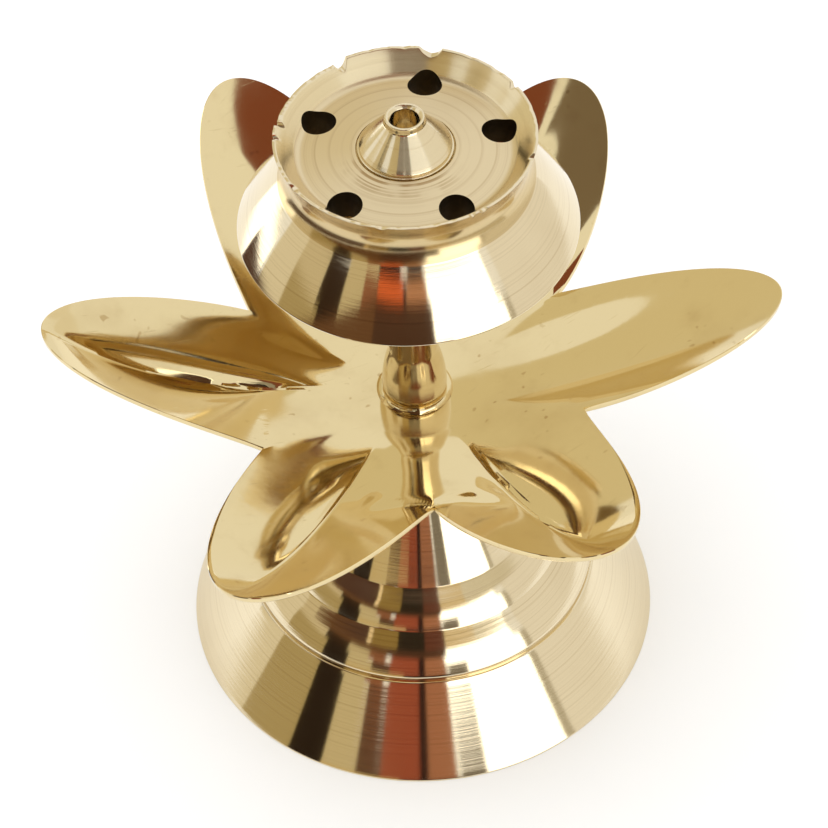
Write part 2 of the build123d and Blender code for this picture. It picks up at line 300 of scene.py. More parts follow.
@dataclass(frozen=True)
class ShadeMarkedFinish(TurnedFinish):
    """Turned brass with darker brown marks on one side of a middle ring: painted shade beside the
    cone's foot.
    """

    axis_hole: ClassVar[float] = 0.5
    marks_start: ClassVar[float] = 7.0
    shade_ring: tuple[float, float] = (5.6, 10.0)
    shade_bearing: float = -105.0

    def pattern(self, bench: NodeBench) -> tuple[Term, Term, Term]:
        """The turned rings, with darker marks near the ring on one side, painted as shade.

        Args:
            bench: builds the nodes.

        Returns:
            Stain, dullness and relief, each from 0 to 1.
        """
        stain, gloss, rings = TurnedFinish.pattern(self, bench)
        x, y, _ = bench.split(bench.place())
        radius = bench.radius()
        bearing = math.radians(self.shade_bearing)
        ahead = x * math.cos(bearing) + y * math.sin(bearing)
        toward = ahead / radius.apply("MAXIMUM", self.axis_hole * MM)
        near, far = self.shade_ring
        marks = bench.noise(2.6, 1.0, radius / MM + self.marks_start).ease(0.42, 0.62)
        broken = bench.noise(330.0, 2.0, seed=6.0).ease(0.3, 0.6)
        inside = 1.0 - ((radius / MM - near) / (far - near)).ease(0.0, 1.0)
        # Painted shade: brown marks gathered on one side of the ring round the cone's foot.
        painted_shade = marks * broken * inside * toward.ease(0.1, 0.95)
        return (stain * 0.7 + painted_shade).apply("MINIMUM", 1.0), gloss, rings


@dataclass(frozen=True)
class SheetFinish(Finish):
    """Polished brass sheet: smudges, faint orange peel and hair scratches."""

    def pattern(self, bench: NodeBench) -> tuple[Term, Term, Term]:
        """Smudges of handling with specks in them, hair scratches and a soft orange peel.

        Args:
            bench: builds the nodes.

        Returns:
            Stain, dullness and relief, each from 0 to 1.
        """
        x, y, z = bench.split(bench.place())
        smudge = bench.noise(75.0, 5.0)
        haze = bench.noise(260.0, 3.0, seed=4.0)
        slant = bench.join(x * 0.9 + y * 0.4, (y * 0.9 - x * 0.4) * 26.0, z * 4.0)
        cross = bench.join((x * 0.7 - y * 0.7) * 22.0, x * 0.7 + y * 0.7, z * 4.0)
        scratch = bench.noise(190.0, 2.0, slant, 2.0).ease(0.66, 0.78)
        scratch = scratch.apply("MAXIMUM", bench.noise(170.0, 2.0, cross, 7.0).ease(0.68, 0.8))
        peel = bench.noise(420.0, 2.0, seed=9.0)
        speck = bench.noise(800.0, 1.0, seed=12.0).ease(0.68, 0.76) * smudge.ease(0.4, 0.6)
        stain = smudge.ease(0.48, 0.78) * 0.35 + haze.ease(0.55, 0.8) * 0.2
        stain = stain + scratch * 0.3 + speck * 0.6
        gloss = smudge.ease(0.4, 0.7) * 0.6 + scratch * 0.4
        height = peel * 0.7 + haze * 0.3 - scratch * 0.25
        return stain.apply("MINIMUM", 1.0), gloss, height


@dataclass(frozen=True)
class CastFinish(Finish):
    """Rough brass, dull, patchy and grainy: brightened as painted light underneath, near-black as
    painted shade in the drilled holes.
    """

    def pattern(self, bench: NodeBench) -> tuple[Term, Term, Term]:
        """Grain of the rough metal under patches of scale.

        Args:
            bench: builds the nodes.

        Returns:
            Stain, dullness and relief, each from 0 to 1.
        """
        grain = bench.noise(1500.0, 3.0)
        scale = bench.noise(140.0, 4.0, seed=3.0)
        return scale.ease(0.4, 0.65), grain, grain * 0.7 + scale * 0.3


@dataclass(frozen=True)
class PlatedFinish(Finish):
    """Zinc plated steel: cloudy, with faint drawing marks."""

    def pattern(self, bench: NodeBench) -> tuple[Term, Term, Term]:
        """Cloud of the plating and marks along the axis.

        Args:
            bench: builds the nodes.

        Returns:
            Stain, dullness and relief, each from 0 to 1.
        """
        x, y, z = bench.split(bench.place())
        cloud = bench.noise(500.0, 3.0)
        marks = bench.noise(900.0, 2.0, bench.join(x, y, z * 0.15), 5.0)
        return cloud.ease(0.45, 0.75), cloud, marks * 0.6 + cloud * 0.4


class Metal(Enum):
    """The stand's finishes: name, colour, stain, roughness, its spread, relief, and for turned ones
    anisotropy, feed and share of coarse rings.
    """

    TURNED = TurnedFinish(
        "lathe_turned_brass", (0.80, 0.69, 0.48), (0.58, 0.46, 0.28), 0.07, 0.05, 0.005, 0.7)
    # Bowl floor: real turning rings, and painted shade on one side of the cone's foot.
    FLOOR = ShadeMarkedFinish(
        "bowl_floor_brass", (0.75, 0.62, 0.39), (0.42, 0.28, 0.13), 0.28, 0.1, 0.008, 0.5, 0.6, 0.7)
    WALL = TurnedFinish(
        "bowl_wall_brass", (0.80, 0.68, 0.44), (0.64, 0.50, 0.28), 0.16, 0.06, 0.004, 0.6)
    # Cove under the lip: darker brass, painted shade under the lip's flare.
    COVE = TurnedFinish(
        "bell_cove_painted_shade", (0.64, 0.50, 0.27), (0.36, 0.25, 0.11), 0.14, 0.08, 0.004, 0.6)
    SHEET = SheetFinish(
        "polished_sheet_brass", (0.77, 0.63, 0.35), (0.50, 0.35, 0.15), 0.06, 0.1, 0.006)
    POLISHED = TurnedFinish(
        "lathe_polished_brass", (0.81, 0.70, 0.48), (0.72, 0.58, 0.36), 0.12, 0.06, 0.003, 0.7, 0.5)
    # Underside: brass brightened past the turned finish, painted light on the shaded hollows and on
    # their reflections in the petals.
    UNDERSIDE = CastFinish(
        "underside_brass_painted_light", (0.90, 0.72, 0.36), (0.80, 0.60, 0.26), 0.5, 0.2, 0.02)
    # Hole walls: near-black brass, painted shade for the deep stick holes.
    HOLE_SHADE = CastFinish(
        "hole_wall_painted_shade", (0.06, 0.042, 0.022), (0.03, 0.02, 0.012), 0.5, 0.25, 0.02)
    PLATED = PlatedFinish(
        "zinc_plated_steel", (0.60, 0.60, 0.58), (0.45, 0.44, 0.41), 0.28, 0.2, 0.003)

    def material(self) -> bpy.types.Material:
        """The finish as a material."""
        return self.value.material()


class Surface(IntEnum):
    """The surfaces of a turned piece, by the number of their finish."""

    OUTSIDE = 0
    UNDERSIDE = 1
    FLOOR = 2
    WALL = 3
    COVE = 4


@dataclass(frozen=True)
class Corner:
    """A corner of a turned outline, with the edge that leaves it.

    The outline runs counter-clockwise: up the outside and down the inside. A rounding is the
    distance that it takes from both edges, and a bulge lies to the left of the edge's run.
    """

    radius: float
    height: float
    rounding: float = 0.0
    bulge: float = 0.0
    surface: Surface = Surface.OUTSIDE

    @property
    def place(self) -> np.ndarray:
        """Radius and height."""
        return np.array((self.radius, self.height))


def tangent_bulge(start: Sequence[float], end: Sequence[float],
                  heading: Sequence[float]) -> float:
    """Bulge of an arc that leaves its start in a given direction.

    Args:
        start: radius and height of the start.
        end: radius and height of the end.
        heading: direction at the start.

    Returns:
        The bulge, positive to the left of the run.
    """
    chord = Vector(end) - Vector(start)
    turn = math.atan2(heading[1], heading[0]) - math.atan2(chord.y, chord.x)
    return chord.length / 2 * math.tan(turn / 2)


class Outline:
    """Closed half section of a turned piece."""

    STEP = 0.9
    BULGED_STEP = 0.3
    ROUND_STEPS = 4
    MOST_TRIM = 0.45
    NEAR = 1e-6

    def __init__(self, *corners: Corner) -> None:
        """Keeps the corners in their order."""
        self.corners = corners

    def edge(self, index: int) -> np.ndarray:
        """Points along one edge, its two corners included.

        Args:
            index: which corner the edge leaves.

        Returns:
            Rows of radius and height.
        """
        one, two = self.corners[index], self.corners[(index + 1) % len(self.corners)]
        start, chord = one.place, two.place - one.place
        length = float(np.hypot(*chord))
        step = self.BULGED_STEP if one.bulge else self.STEP
        count = max(2, int(length / step) + 1)
        if not one.bulge:
            return start + chord * np.linspace(0.0, 1.0, count + 1)[:, None]
        half = 2 * math.atan(2 * one.bulge / length)
        angles = np.linspace(-half, half, count + 1)
        across = np.sin(angles) / math.sin(half) / 2 + 0.5
        aside = one.bulge * (np.cos(angles) - math.cos(half)) / (1 - math.cos(half))
        left = np.array((-chord[1], chord[0])) / length
        return start + across[:, None] * chord + aside[:, None] * left

    def trimmed(self, index: int) -> np.ndarray:
        """Points along one edge, without what the roundings at its ends take.

        Args:
            index: which corner the edge leaves.

        Returns:
            Rows of radius and height.
        """
        points = self.edge(index)
        low, high = (self.corners[at % len(self.corners)].rounding for at in (index, index + 1))
        lengths = np.concatenate(([0.0], np.cumsum(np.hypot(*np.diff(points, axis=0).T))))
        most = lengths[-1] * self.MOST_TRIM
        low, high = min(low, most), lengths[-1] - min(high, most)
        keep = lengths[(lengths > low + self.NEAR) & (lengths < high - self.NEAR)]
        places = np.concatenate(([low], keep, [high]))
        return np.column_stack([np.interp(places, lengths, points[:, axis]) for axis in (0, 1)])

    def points(self) -> tuple[np.ndarray, np.ndarray]:
        """The whole outline with its rounded corners.

        Returns:
            Rows of radius and height, and for each row the surface of the edge that leaves it.
        """
        edges = [self.trimmed(index) for index in range(len(self.corners))]
        rows, surfaces = [], []
        for index, corner in enumerate(self.corners):
            edge = edges[index]
            if corner.rounding:
                before, tip, after = edges[index - 1][-1], corner.place, edge[0]
                for share in np.linspace(0.0, 1.0, self.ROUND_STEPS + 1)[:-1]:
                    rest = 1 - share
                    rows.append(rest ** 2 * before + 2 * share * rest * tip + share ** 2 * after)
                    surfaces.append(corner.surface)
            rows.extend(edge[:-1])
            surfaces.extend([corner.surface] * (len(edge) - 1))
        return np.array(rows), np.array(surfaces)


def put(name: str, data: bpy.types.ID) -> bpy.types.Object:
    """Adds an object to the scene.

    Args:
        name: the object's name.
        data: its mesh, lamp or camera.

    Returns:
        The object.
    """
    made = bpy.data.objects.new(name, data)
    bpy.context.scene.collection.objects.link(made)
    return made


def places_of(mesh: bpy.types.Mesh) -> np.ndarray:
    """Reads the places of a mesh's vertices.

    Args:
        mesh: the mesh.

    Returns:
        One place to a row.
    """
    places = np.empty(len(mesh.vertices) * 3)
    mesh.vertices.foreach_get("co", places)
    return places.reshape(-1, 3)


def soft_step(values: np.ndarray) -> np.ndarray:
    """Soft steps from 0 at 0 to 1 at 1."""
    held = np.clip(values, 0.0, 1.0)
    return held * held * (3 - 2 * held)


def quads(rings: int, columns: int, shut: bool = True) -> list[tuple[int, ...]]:
    """Faces between rings of places.

    Args:
        rings: how many rings there are.
        columns: places on each ring.
        shut: whether the last ring joins the first.

    Returns:
        The places of each face's corners.
    """
    faces = []
    for ring in range(rings if shut else rings - 1):
        here, after = ring * columns, (ring + 1) % rings * columns
        for column in range(columns):
            near = (column + 1) % columns
            faces.append((here + column, here + near, after + near, after + column))
    return faces


@dataclass
class Draft:
    """A mesh in the making: places in millimetres, faces, and the surface of each face."""

    places: np.ndarray
    faces: list[tuple[int, ...]]
    surfaces: Optional[list[int]] = None

    def piece(self, name: str, *metals: Metal, sharp_deg: float = 38.0) -> bpy.types.Object:
        """Makes the mesh an object of the scene.

        Args:
            name: the piece's name.
            metals: finishes, by the numbers of the faces' surfaces.
            sharp_deg: edges that turn more than this stay sharp.

        Returns:
            The object, at the origin.
        """
        mesh = bpy.data.meshes.new(name)
        faces = self.faces if self.volume() > 0 else [face[::-1] for face in self.faces]
        mesh.from_pydata((self.places * MM).tolist(), [], faces)
        for metal in metals:
            mesh.materials.append(metal.material())
        if self.surfaces is not None:
            mesh.polygons.foreach_set("material_index", self.surfaces)
        smooth(mesh, sharp_deg)
        return put(name, mesh)

    def volume(self) -> float:
        """Volume that the faces close in.

        Returns:
            The volume, negative where the faces point inwards.
        """
        filled = [face + face[-1:] * (4 - len(face)) for face in self.faces if len(face) < 5]
        centred = self.places - self.places.mean(axis=0)
        one, two, three, four = np.moveaxis(centred[np.array(filled)], 1, 0)
        return float(np.sum(one * (np.cross(two, three) + np.cross(three, four)))) / 6


def smooth(mesh: bpy.types.Mesh, sharp_deg: float) -> None:
    """Shades a mesh smooth, but for its sharp edges.

    Args:
        mesh: the mesh.
        sharp_deg: edges that turn more than this stay sharp.
    """
    mesh.validate()
    mesh.polygons.foreach_set("use_smooth", [True] * len(mesh.polygons))
    mesh.set_sharp_from_angle(angle=math.radians(sharp_deg))
    mesh.update()


Shift = Callable[[np.ndarray, np.ndarray, np.ndarray], tuple[np.ndarray, np.ndarray]]


def turned(outline: Outline, segments: int, shift: Optional[Shift] = None) -> Draft:
    """Turns an outline about the axis.

    Args:
        outline: half section of the piece.
        segments: faces round the axis.
        shift: moves rings of places, given their radius, height and bearing.

    Returns:
        The closed mesh.
    """
    rows, kinds = outline.points()
    bearings = np.arange(segments) * 2 * math.pi / segments
    places, rings = [], []
    for radius, height in rows:
        if radius < Outline.NEAR:
            rings.append([len(places)] * segments)
            places.append((0.0, 0.0, height))
            continue
        radii, heights = np.full(segments, radius), np.full(segments, height)
        if shift:
            radii, heights = shift(radii, heights, bearings)
        rings.append(list(range(len(places), len(places) + segments)))
        places.extend(zip(radii * np.cos(bearings), radii * np.sin(bearings), heights))
    faces, surfaces = [], []
    for index, ring in enumerate(rings):
        after = rings[(index + 1) % len(rings)]
        if ring[0] == ring[1] and after[0] == after[1]:
            continue
        for column in range(segments):
            near = (column + 1) % segments
            corners = dict.fromkeys((ring[column], ring[near], after[near], after[column]))
            faces.append(tuple(corners))
            surfaces.append(int(kinds[index]))
    return Draft(np.array(places), faces, surfaces)


class Tree:
    """A Geometry Nodes tree with named inputs, run once on an object."""

    def __init__(self, name: str, inputs: dict[str, float]) -> None:
        """Makes the tree.

        Args:
            name: the tree's name.
            inputs: its named sizes and their values.
        """
        self.group = bpy.data.node_groups.new(name, "GeometryNodeTree")
        self.bench = NodeBench(self.group)
        new_socket = self.group.interface.new_socket
        for way in ("INPUT", "OUTPUT"):
            new_socket("Geometry", in_out=way, socket_type="NodeSocketGeometry")
        self.sockets = {}
        for label, value in inputs.items():
            kind = "NodeSocketInt" if isinstance(value, int) else "NodeSocketFloat"
            socket = new_socket(label, in_out="INPUT", socket_type=kind)
            socket.default_value = value
            self.sockets[label] = socket.identifier
        self.entry = self.bench.node("NodeGroupInput")

    def value(self, label: str) -> Term:
        """One of the tree's inputs."""
        return Term(self.bench, self.entry.outputs[label])

    def grid(self) -> tuple[Term, Term, Term]:
        """A grid of the tree's rows and columns.

        Returns:
            The grid, and each place's share of the way along and across it.
        """
        mesh = self.bench.term("GeometryNodeMeshGrid", sockets={
            "Size X": 1.0, "Size Y": 1.0,
            "Vertices X": self.value("Rows"), "Vertices Y": self.value("Columns")})
        along, across, _ = self.bench.split(self.bench.term("GeometryNodeInputPosition"))
        return mesh, along + 0.5, across + 0.5

    def moved(self, geometry: Term, *place: Term) -> Term:
        """Geometry with its places moved."""
        return self.bench.term("GeometryNodeSetPosition", sockets={
            "Geometry": geometry, "Position": self.bench.join(*place)})

    def dressed(self, geometry: Term, metal: Metal) -> Term:
        """Geometry with its instances made mesh, in a finish."""
        real = self.bench.term("GeometryNodeRealizeInstances", sockets={"Geometry": geometry})
        return self.bench.term("GeometryNodeSetMaterial", sockets={
            "Geometry": real, "Material": metal.material()})

    def close(self, geometry: Term) -> "Tree":
        """Ends the tree with what comes out of it."""
        self.bench.node("NodeGroupOutput", sockets={"Geometry": geometry})
        return self

    def run(self, mesh: bpy.types.Mesh, values: dict[str, float]) -> bpy.types.Mesh:
        """Runs the tree on a mesh.

        Args:
            mesh: what goes in.
            values: sizes that differ from the tree's own.

        Returns:
            The result, as a plain mesh.
        """
        host = put(self.group.name, mesh)
        modifier = host.modifiers.new(self.group.name, "NODES")
        modifier.node_group = self.group
        for label, value in values.items():
            modifier[self.sockets[label]] = value
        shown = host.evaluated_get(bpy.context.evaluated_depsgraph_get())
        result = bpy.data.meshes.new_from_object(shown)
        host.modifiers.remove(modifier)
        bpy.data.objects.remove(host)
        return result


def bernstein(place: Term, degree: int) -> list[Term]:
    """Weights of a Bezier curve's control points.

    Args:
        place: where on the curve, from 0 to 1.
        degree: the curve's degree.

    Returns:
        One weight for each control point.
    """
    rest = 1.0 - place
    ups, downs = [None, place], [None, rest]
    for _ in range(degree - 1):
        ups.append(ups[-1] * place)
        downs.append(downs[-1] * rest)
    weights = []
    for index in range(degree + 1):
        up, down = ups[index], downs[degree - index]
        product = down if up is None else up if down is None else up * down
        weights.append(product * float(math.comb(degree, index)))
    return weights


def weighted(weights: Sequence[Term], shares: Sequence[Value]) -> Term:
    """Adds up weights, leaving out shares of nothing.

    Args:
        weights: the weights.
        shares: what each weight is multiplied by.

    Returns:
        The sum.
    """
    total = None
    for weight, share in zip(weights, shares):
        if isinstance(share, (int, float)) and share == 0:
            continue
        part = weight * share
        total = part if total is None else total + part
    return total


class Body(str, Enum):
    """The bodies that move against each other."""

    STAND = "stand"
    LOTUS = "lotus"
    PILLAR = "pillar"
    BURNER = "burner"
    LIFT_WASHER = "lift_washer"
    CONE = "cone"


class Slot(str, Enum):
    """The record's material slots."""

    TURNED = "turned_brass"
    SHEET = "sheet_brass"
    POLISHED = "polished_brass"
    STEEL = "steel"


def dress(piece: bpy.types.Object, node: str, body: Body, slot: Slot) -> None:
    """Lets a piece stand for a node of the solid model, on that node's body.

    Args:
        piece: the piece.
        node: the node that it replaces.
        body: the body that it rides on.
        slot: not used.
    """
    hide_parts(node)
    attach(piece, body)
    LOG.info("%s: %d faces for %s, on %s", piece.name, len(piece.data.polygons), node, body.value)


@dataclass
class Base:
    """Hollow turned base: skirt, groove, two steps with sloping shoulders, neck and collar."""

    bore: float = 2.1
    foot: float = 30.0
    hollow_foot: float = 27.2
    hollow_top: float = 19.57
    ceiling: float = 10.4
    skirt_top: tuple[float, float] = (22.3, 10.5)
    groove: float = 0.5
    groove_share: float = 0.6
    lower_edge: tuple[float, float] = (19.65, 14.1)
    upper_foot: tuple[float, float] = (18.2, 15.55)
    upper_edge: tuple[float, float] = (16.15, 18.3)
    neck_foot: tuple[float, float] = (14.65, 19.75)
    waist: tuple[float, float] = (7.5, 32.15)
    collar: tuple[float, float] = (8.0, 38.8)
    seat: float = 40.4
    step_bulge: float = 0.12
    segments: int = 384

    def outline(self) -> Outline:
        """Half section of the base.

        Returns:
            The outline.
        """
        skirt, skirt_z = self.skirt_top
        under = Surface.UNDERSIDE
        neck = (self.waist[0] - self.neck_foot[0], self.waist[1] - self.neck_foot[1])
        return Outline(
            Corner(self.hollow_foot, 0.0, 0.2),
            Corner(self.foot, 0.0, 0.3),
            Corner(skirt, skirt_z, 0.12),
            Corner(skirt - self.groove, skirt_z, 0.1),
            Corner(skirt - self.groove * self.groove_share, skirt_z + self.groove, 0.12,
                   -self.step_bulge),
            Corner(*self.lower_edge, 0.14),
            Corner(*self.upper_foot, 0.12, -self.step_bulge),
            Corner(*self.upper_edge, 0.14),
            Corner(*self.neck_foot, 0.12),
            Corner(*self.waist, 0.0, tangent_bulge(self.waist, self.collar, neck)),
            Corner(*self.collar, 0.2),
            Corner(self.collar[0], self.seat, 0.2),
            Corner(self.bore, self.seat, 0.0, 0.0, under),
            Corner(self.bore, self.ceiling, 0.1, 0.0, under),
            Corner(self.hollow_top, self.ceiling, 0.8, 0.0, under),
        )

    def build(self) -> None:
        """Makes and dresses the base."""
        draft = turned(self.outline(), self.segments)
        piece = draft.piece("base_turned", Metal.TURNED, Metal.UNDERSIDE)
        dress(piece, "base", Body.STAND, Slot.TURNED)


class Flank(Enum):
    """The sides of a petal's midline, seen from the hub."""

    LEFT = "left"
    RIGHT = "right"


@dataclass(frozen=True)
class PetalBend:
    """How one petal departs from the even pattern.

    The ridge lies on the petal's left, and the valley is how far its rounding reaches. A petal with
    a hollow flank is folded, and that flank hollows out by its share of the usual spread.
    """

    lean_deg: float
    reach: float
    rise: float
    tilt: float
    ridge: float
    valley: float = 1.4
    hollow: Optional[Flank] = None
    hollow_share: float = 1.0


@dataclass
class Lotus:
    """Pressed sheet of six petals, hollow along their midlines and joined along ridges."""

    bore: float = 2.1
    hub: float = 8.7
    land: float = 8.0
    land_step: float = 0.15
    stem_land: float = 4.4
    low: float = 40.55
    thickness: float = 0.8
    notch: float = 22.2
    first_deg: float = 4.5
    edge_round: float = 0.14
    bends: tuple[PetalBend, ...] = (
        PetalBend(-3.2, 44.2, 13.2, -1.28, 2.1),
        PetalBend(-5.4, 43.98, 14.34, 2.13, 3.9),
        PetalBend(-2.4, 42.43, 18.32, -1.0, 4.2),
        PetalBend(-4.1, 44.2, 13.06, 0.92, 3.7, 1.4, Flank.RIGHT, 0.42),
        PetalBend(-1.5, 45.97, 11.5, 1.0, 3.0, 5.0, Flank.RIGHT),
        PetalBend(-5.3, 44.2, 14.2, 0.0, 5.2, 1.4, Flank.LEFT),
    )
    reach_shares: tuple[float, ...] = (0.0, 0.265, 1.01, 1.526, 1.01, 0.265, 0.0)
    width_shares: tuple[float, ...] = (-1.0, -0.98, -0.905, 0.0, 0.905, 0.98, 1.0)
    gutter_shares: tuple[float, ...] = (0.0, 0.04, 0.36, 1.0)
    ridge_shares: tuple[float, ...] = (0.0, 0.33, 0.72, 1.0)
    rows: int = 60
    columns: int = 73
    hub_rows: int = 30
    gutter_power: float = 2.6
    flank_spread: tuple[float, float] = (1.2, 3.5)
    fold_start: tuple[float, float] = (8.7, 19.0)
    least_reach: float = 0.001
    valley_ends: tuple[float, float] = (4.0, 3.0)
    valley_width: float = 2.0
    dish: float = 0.4
    dish_start: float = 4.65
    rim_inset: float = 0.02

    def tree(self) -> Tree:
        """Nodes that shape one petal: a Bezier patch from the hub's edge to the rim.

        Returns:
            The tree.
        """
        usual = self.bends[0]
        tree = Tree("petal", {
            "Rows": self.rows, "Columns": self.columns, "Hub radius": self.hub,
            "Notch radius": self.notch, "Low": self.low, "Reach": usual.reach, "Rise": usual.rise,
            "Tilt": usual.tilt, "Right ridge": usual.ridge, "Left ridge": usual.ridge,
            "Middle": 0.0, "Lean": 0.0,
        })
        value = tree.value
        grid, out, across = tree.grid()
        degree = len(self.reach_shares) - 1
        weights = bernstein(across, degree)
        half = math.pi / len(self.bends)
        sides = [index * 2 / degree - 1 for index in range(degree + 1)]
        notch, middle = value("Notch radius"), value("Middle")
        leaning = middle + value("Lean")
        notch_along, notch_across = notch * math.cos(half), notch * math.sin(half)
        inner = weights[1:-1]
        along = notch_along * weighted(inner, [1.0] * len(inner))
        along = along + (value("Reach") - notch_along) * weighted(inner, self.reach_shares[1:-1])
        aside = notch_across * weighted(inner, self.width_shares[1:-1])

        def swung(ahead: Term, left: Term, bearing: Term) -> tuple[Term, Term]:
            """A plan point turned to a bearing."""
            cosine, sine = bearing.apply("COSINE"), bearing.apply("SINE")
            return ahead * cosine - left * sine, ahead * sine + left * cosine

        rim_x, rim_y = swung(along, aside, leaning)
        ends = weights[0] + weights[-1]
        notch_x, notch_y = swung(
            ends * notch_along, (weights[-1] - weights[0]) * notch_across, middle)
        hub = value("Hub radius")
        hub_x, hub_y = swung(
            hub * weighted(weights, [math.cos(side * half) for side in sides]),
            hub * weighted(weights, [math.sin(side * half) for side in sides]), middle)
        rim_x, rim_y = rim_x + notch_x, rim_y + notch_y
        right, left = value("Right ridge"), value("Left ridge")
        mean = (right + left) * 0.5
        heights = [right]
        for reach, width in zip(self.reach_shares[1:-1], self.width_shares[1:-1]):
            heights.append(mean + (value("Rise") - mean) * reach + value("Tilt") * width)
        heights.append(left)
        level = weighted(weights, heights)
        shares = [height * abs(side) if side else 0.0 for height, side in zip(heights, sides)]
        raised = weighted(weights, shares)
        rows = bernstein(out, len(self.gutter_shares) - 1)
        gutter, ridge = weighted(rows, self.gutter_shares), weighted(rows, self.ridge_shares)
        lift = value("Low") + gutter * level + (ridge - gutter) * raised
        x, y = hub_x + (rim_x - hub_x) * out, hub_y + (rim_y - hub_y) * out
        return tree.close(tree.dressed(tree.moved(grid, x, y, lift), Metal.SHEET))

    def lower_face(self) -> np.ndarray:
        """The sheet's lower face.

        Returns:
            Places in rows from the hole to the rim and in columns round the axis.
        """
        tree = self.tree()
        first, pitch = math.radians(self.first_deg), 2 * math.pi / len(self.bends)
        patches = []
        for index, bend in enumerate(self.bends):
            middle, lean = first + index * pitch, math.radians(bend.lean_deg)
            mesh = tree.run(bpy.data.meshes.new("petal"), {
                "Reach": bend.reach, "Rise": bend.rise, "Tilt": bend.tilt,
                "Right ridge": self.bends[index - 1].ridge, "Left ridge": bend.ridge,
                "Middle": middle, "Lean": lean,
            })
            patch = places_of(mesh).reshape(self.rows, self.columns, 3)
            if bend.hollow is not None:
                self.fold(patch, middle + lean, bend)
            patches.append(patch[:, :-1])
        petals = np.concatenate(patches, axis=1)
        for index, bend in enumerate(self.bends):
            ridge = (index + 1) * (self.columns - 1) % petals.shape[1]
            self.relax(petals, ridge, bend.valley)
        edge = petals[0]
        middle = edge / np.hypot(edge[:, 0], edge[:, 1])[:, None] * self.bore
        middle[:, 2] = edge[:, 2]
        shares = np.linspace(0.0, 1.0, self.hub_rows, endpoint=False)[:, None, None]
        return np.concatenate((middle + (edge - middle) * shares, petals))

    def relax(self, petals: np.ndarray, ridge: int, spread: float) -> None:
        """Rounds the valley between two petals, widest before it sharpens again at the rim.

        Args:
            petals: places of all petals, rows from hub to rim; heights are changed in place.
            ridge: the column that runs along the valley.
            spread: how far the rounding reaches to each side at the rim.
        """
        half = self.columns // 2
        near = [(ridge + step) % petals.shape[1] for step in range(-half, half + 1)]
        strip = petals[:, near]
        outward = strip[-1, half, :2] / np.hypot(*strip[-1, half, :2])
        ahead = strip[..., :2] @ outward
        aside = strip[..., :2] @ np.array((-outward[1], outward[0]))
        rows, columns = (np.gradient(strip[..., :2], axis=axis) for axis in (0, 1))
        area = np.abs(rows[..., 0] * columns[..., 1] - rows[..., 1] * columns[..., 0]).ravel()
        reach = spread * np.clip(ahead, self.hub, self.notch) / self.notch
        gap = sum((part.reshape(-1, 1) - part.ravel()) ** 2 for part in (ahead, aside))
        weights = area * np.exp(-0.5 * gap / reach.reshape(-1, 1) ** 2)
        eased = (weights @ strip[..., 2].ravel() / weights.sum(axis=1)).reshape(ahead.shape)
        start, end = self.valley_ends
        share = soft_step((ahead - self.hub) / start) * soft_step((self.notch - ahead) / end)
        share *= soft_step(self.valley_width - np.abs(aside) / reach)
        petals[:, near, 2] += (eased - strip[..., 2]) * share

    def fold(self, patch: np.ndarray, bearing: float, bend: PetalBend) -> None:
        """Folds a petal on its midline: one flank runs straight to its edge, the other hollows out.

        Args:
            patch: places of the petal, rows from hub to rim; heights are changed in place.
            bearing: the tip's bearing.
            bend: the petal's own shape, with its hollow flank.
        """
        hollow = bend.hollow
        ahead = patch[..., 0] * math.cos(bearing) + patch[..., 1] * math.sin(bearing)
        aside = np.abs(patch[..., 1] * math.cos(bearing) - patch[..., 0] * math.sin(bearing))
        height = patch[..., 2] - self.low
        middle = self.columns // 2
        share = np.clip((ahead - self.hub) / (ahead[-1, middle] - self.hub), 0.0, 1.0)
        gutter = height[-1, middle] * share ** self.gutter_power
        bowl = np.interp(ahead, ahead[:, middle], height[:, middle])
        spread = (self.flank_spread[0] + self.flank_spread[1] * share) * bend.hollow_share
        folded = height + (gutter - bowl) * np.exp(-aside / spread)
        flat = slice(0, middle + 1) if hollow is Flank.LEFT else slice(middle, None)
        edge = 0 if hollow is Flank.LEFT else -1

        def boundary(values: np.ndarray) -> np.ndarray:
            """Values along the flat flank's ridge and on along its rim to the tip."""
            rim = values[-1, flat]
            return np.concatenate((values[:-1, edge], rim if hollow is Flank.LEFT else rim[::-1]))

        reach = np.interp(ahead[:, flat], boundary(ahead), boundary(aside))
        level = np.interp(ahead[:, flat], boundary(ahead), boundary(height))
        across = np.clip(aside[:, flat] / np.maximum(reach, self.least_reach), 0.0, 1.0)
        folded[:, flat] = gutter[:, flat] + (level - gutter[:, flat]) * across
        folded[-1], folded[:, 0], folded[:, -1] = height[-1], height[:, 0], height[:, -1]
        start, end = self.fold_start
        begun = soft_step((ahead - start) / (end - start))
        patch[..., 2] = height + (folded - height) * begun + self.low

    def draft(self) -> Draft:
        """The sheet with its thickness, its rim slightly rounded.

        Returns:
            The closed mesh.
        """
        lower = self.lower_face()
        radius = np.hypot(lower[..., 0], lower[..., 1])
        land = np.clip((self.hub - radius) / (self.hub - self.land), 0.0, 1.0) * self.land_step
        upper = lower.copy()
        upper[..., 2] += self.thickness + np.interp(
            radius, (self.stem_land, self.dish_start, self.hub), (self.land_step, -self.dish, 0.0))
        lower[..., 2] -= land
        inward = lower[-2] - lower[-1]
        inward = inward / np.linalg.norm(inward, axis=1)[:, None]
        rims = []
        for face, way in ((lower, 1), (upper, -1)):
            face[-1] += inward * self.rim_inset
            rims.append(face[-1] + (0.0, 0.0, way * self.edge_round))
            face[-1] += inward * self.edge_round
        rings = np.concatenate((lower, rims, upper[::-1]))
        return Draft(rings.reshape(-1, 3), quads(*rings.shape[:2]))

    def build(self) -> None:
        """Makes and dresses the sheet."""
        piece = self.draft().piece("lotus_sheet", Metal.SHEET)
        dress(piece, "petal_plate", Body.LOTUS, Slot.SHEET)


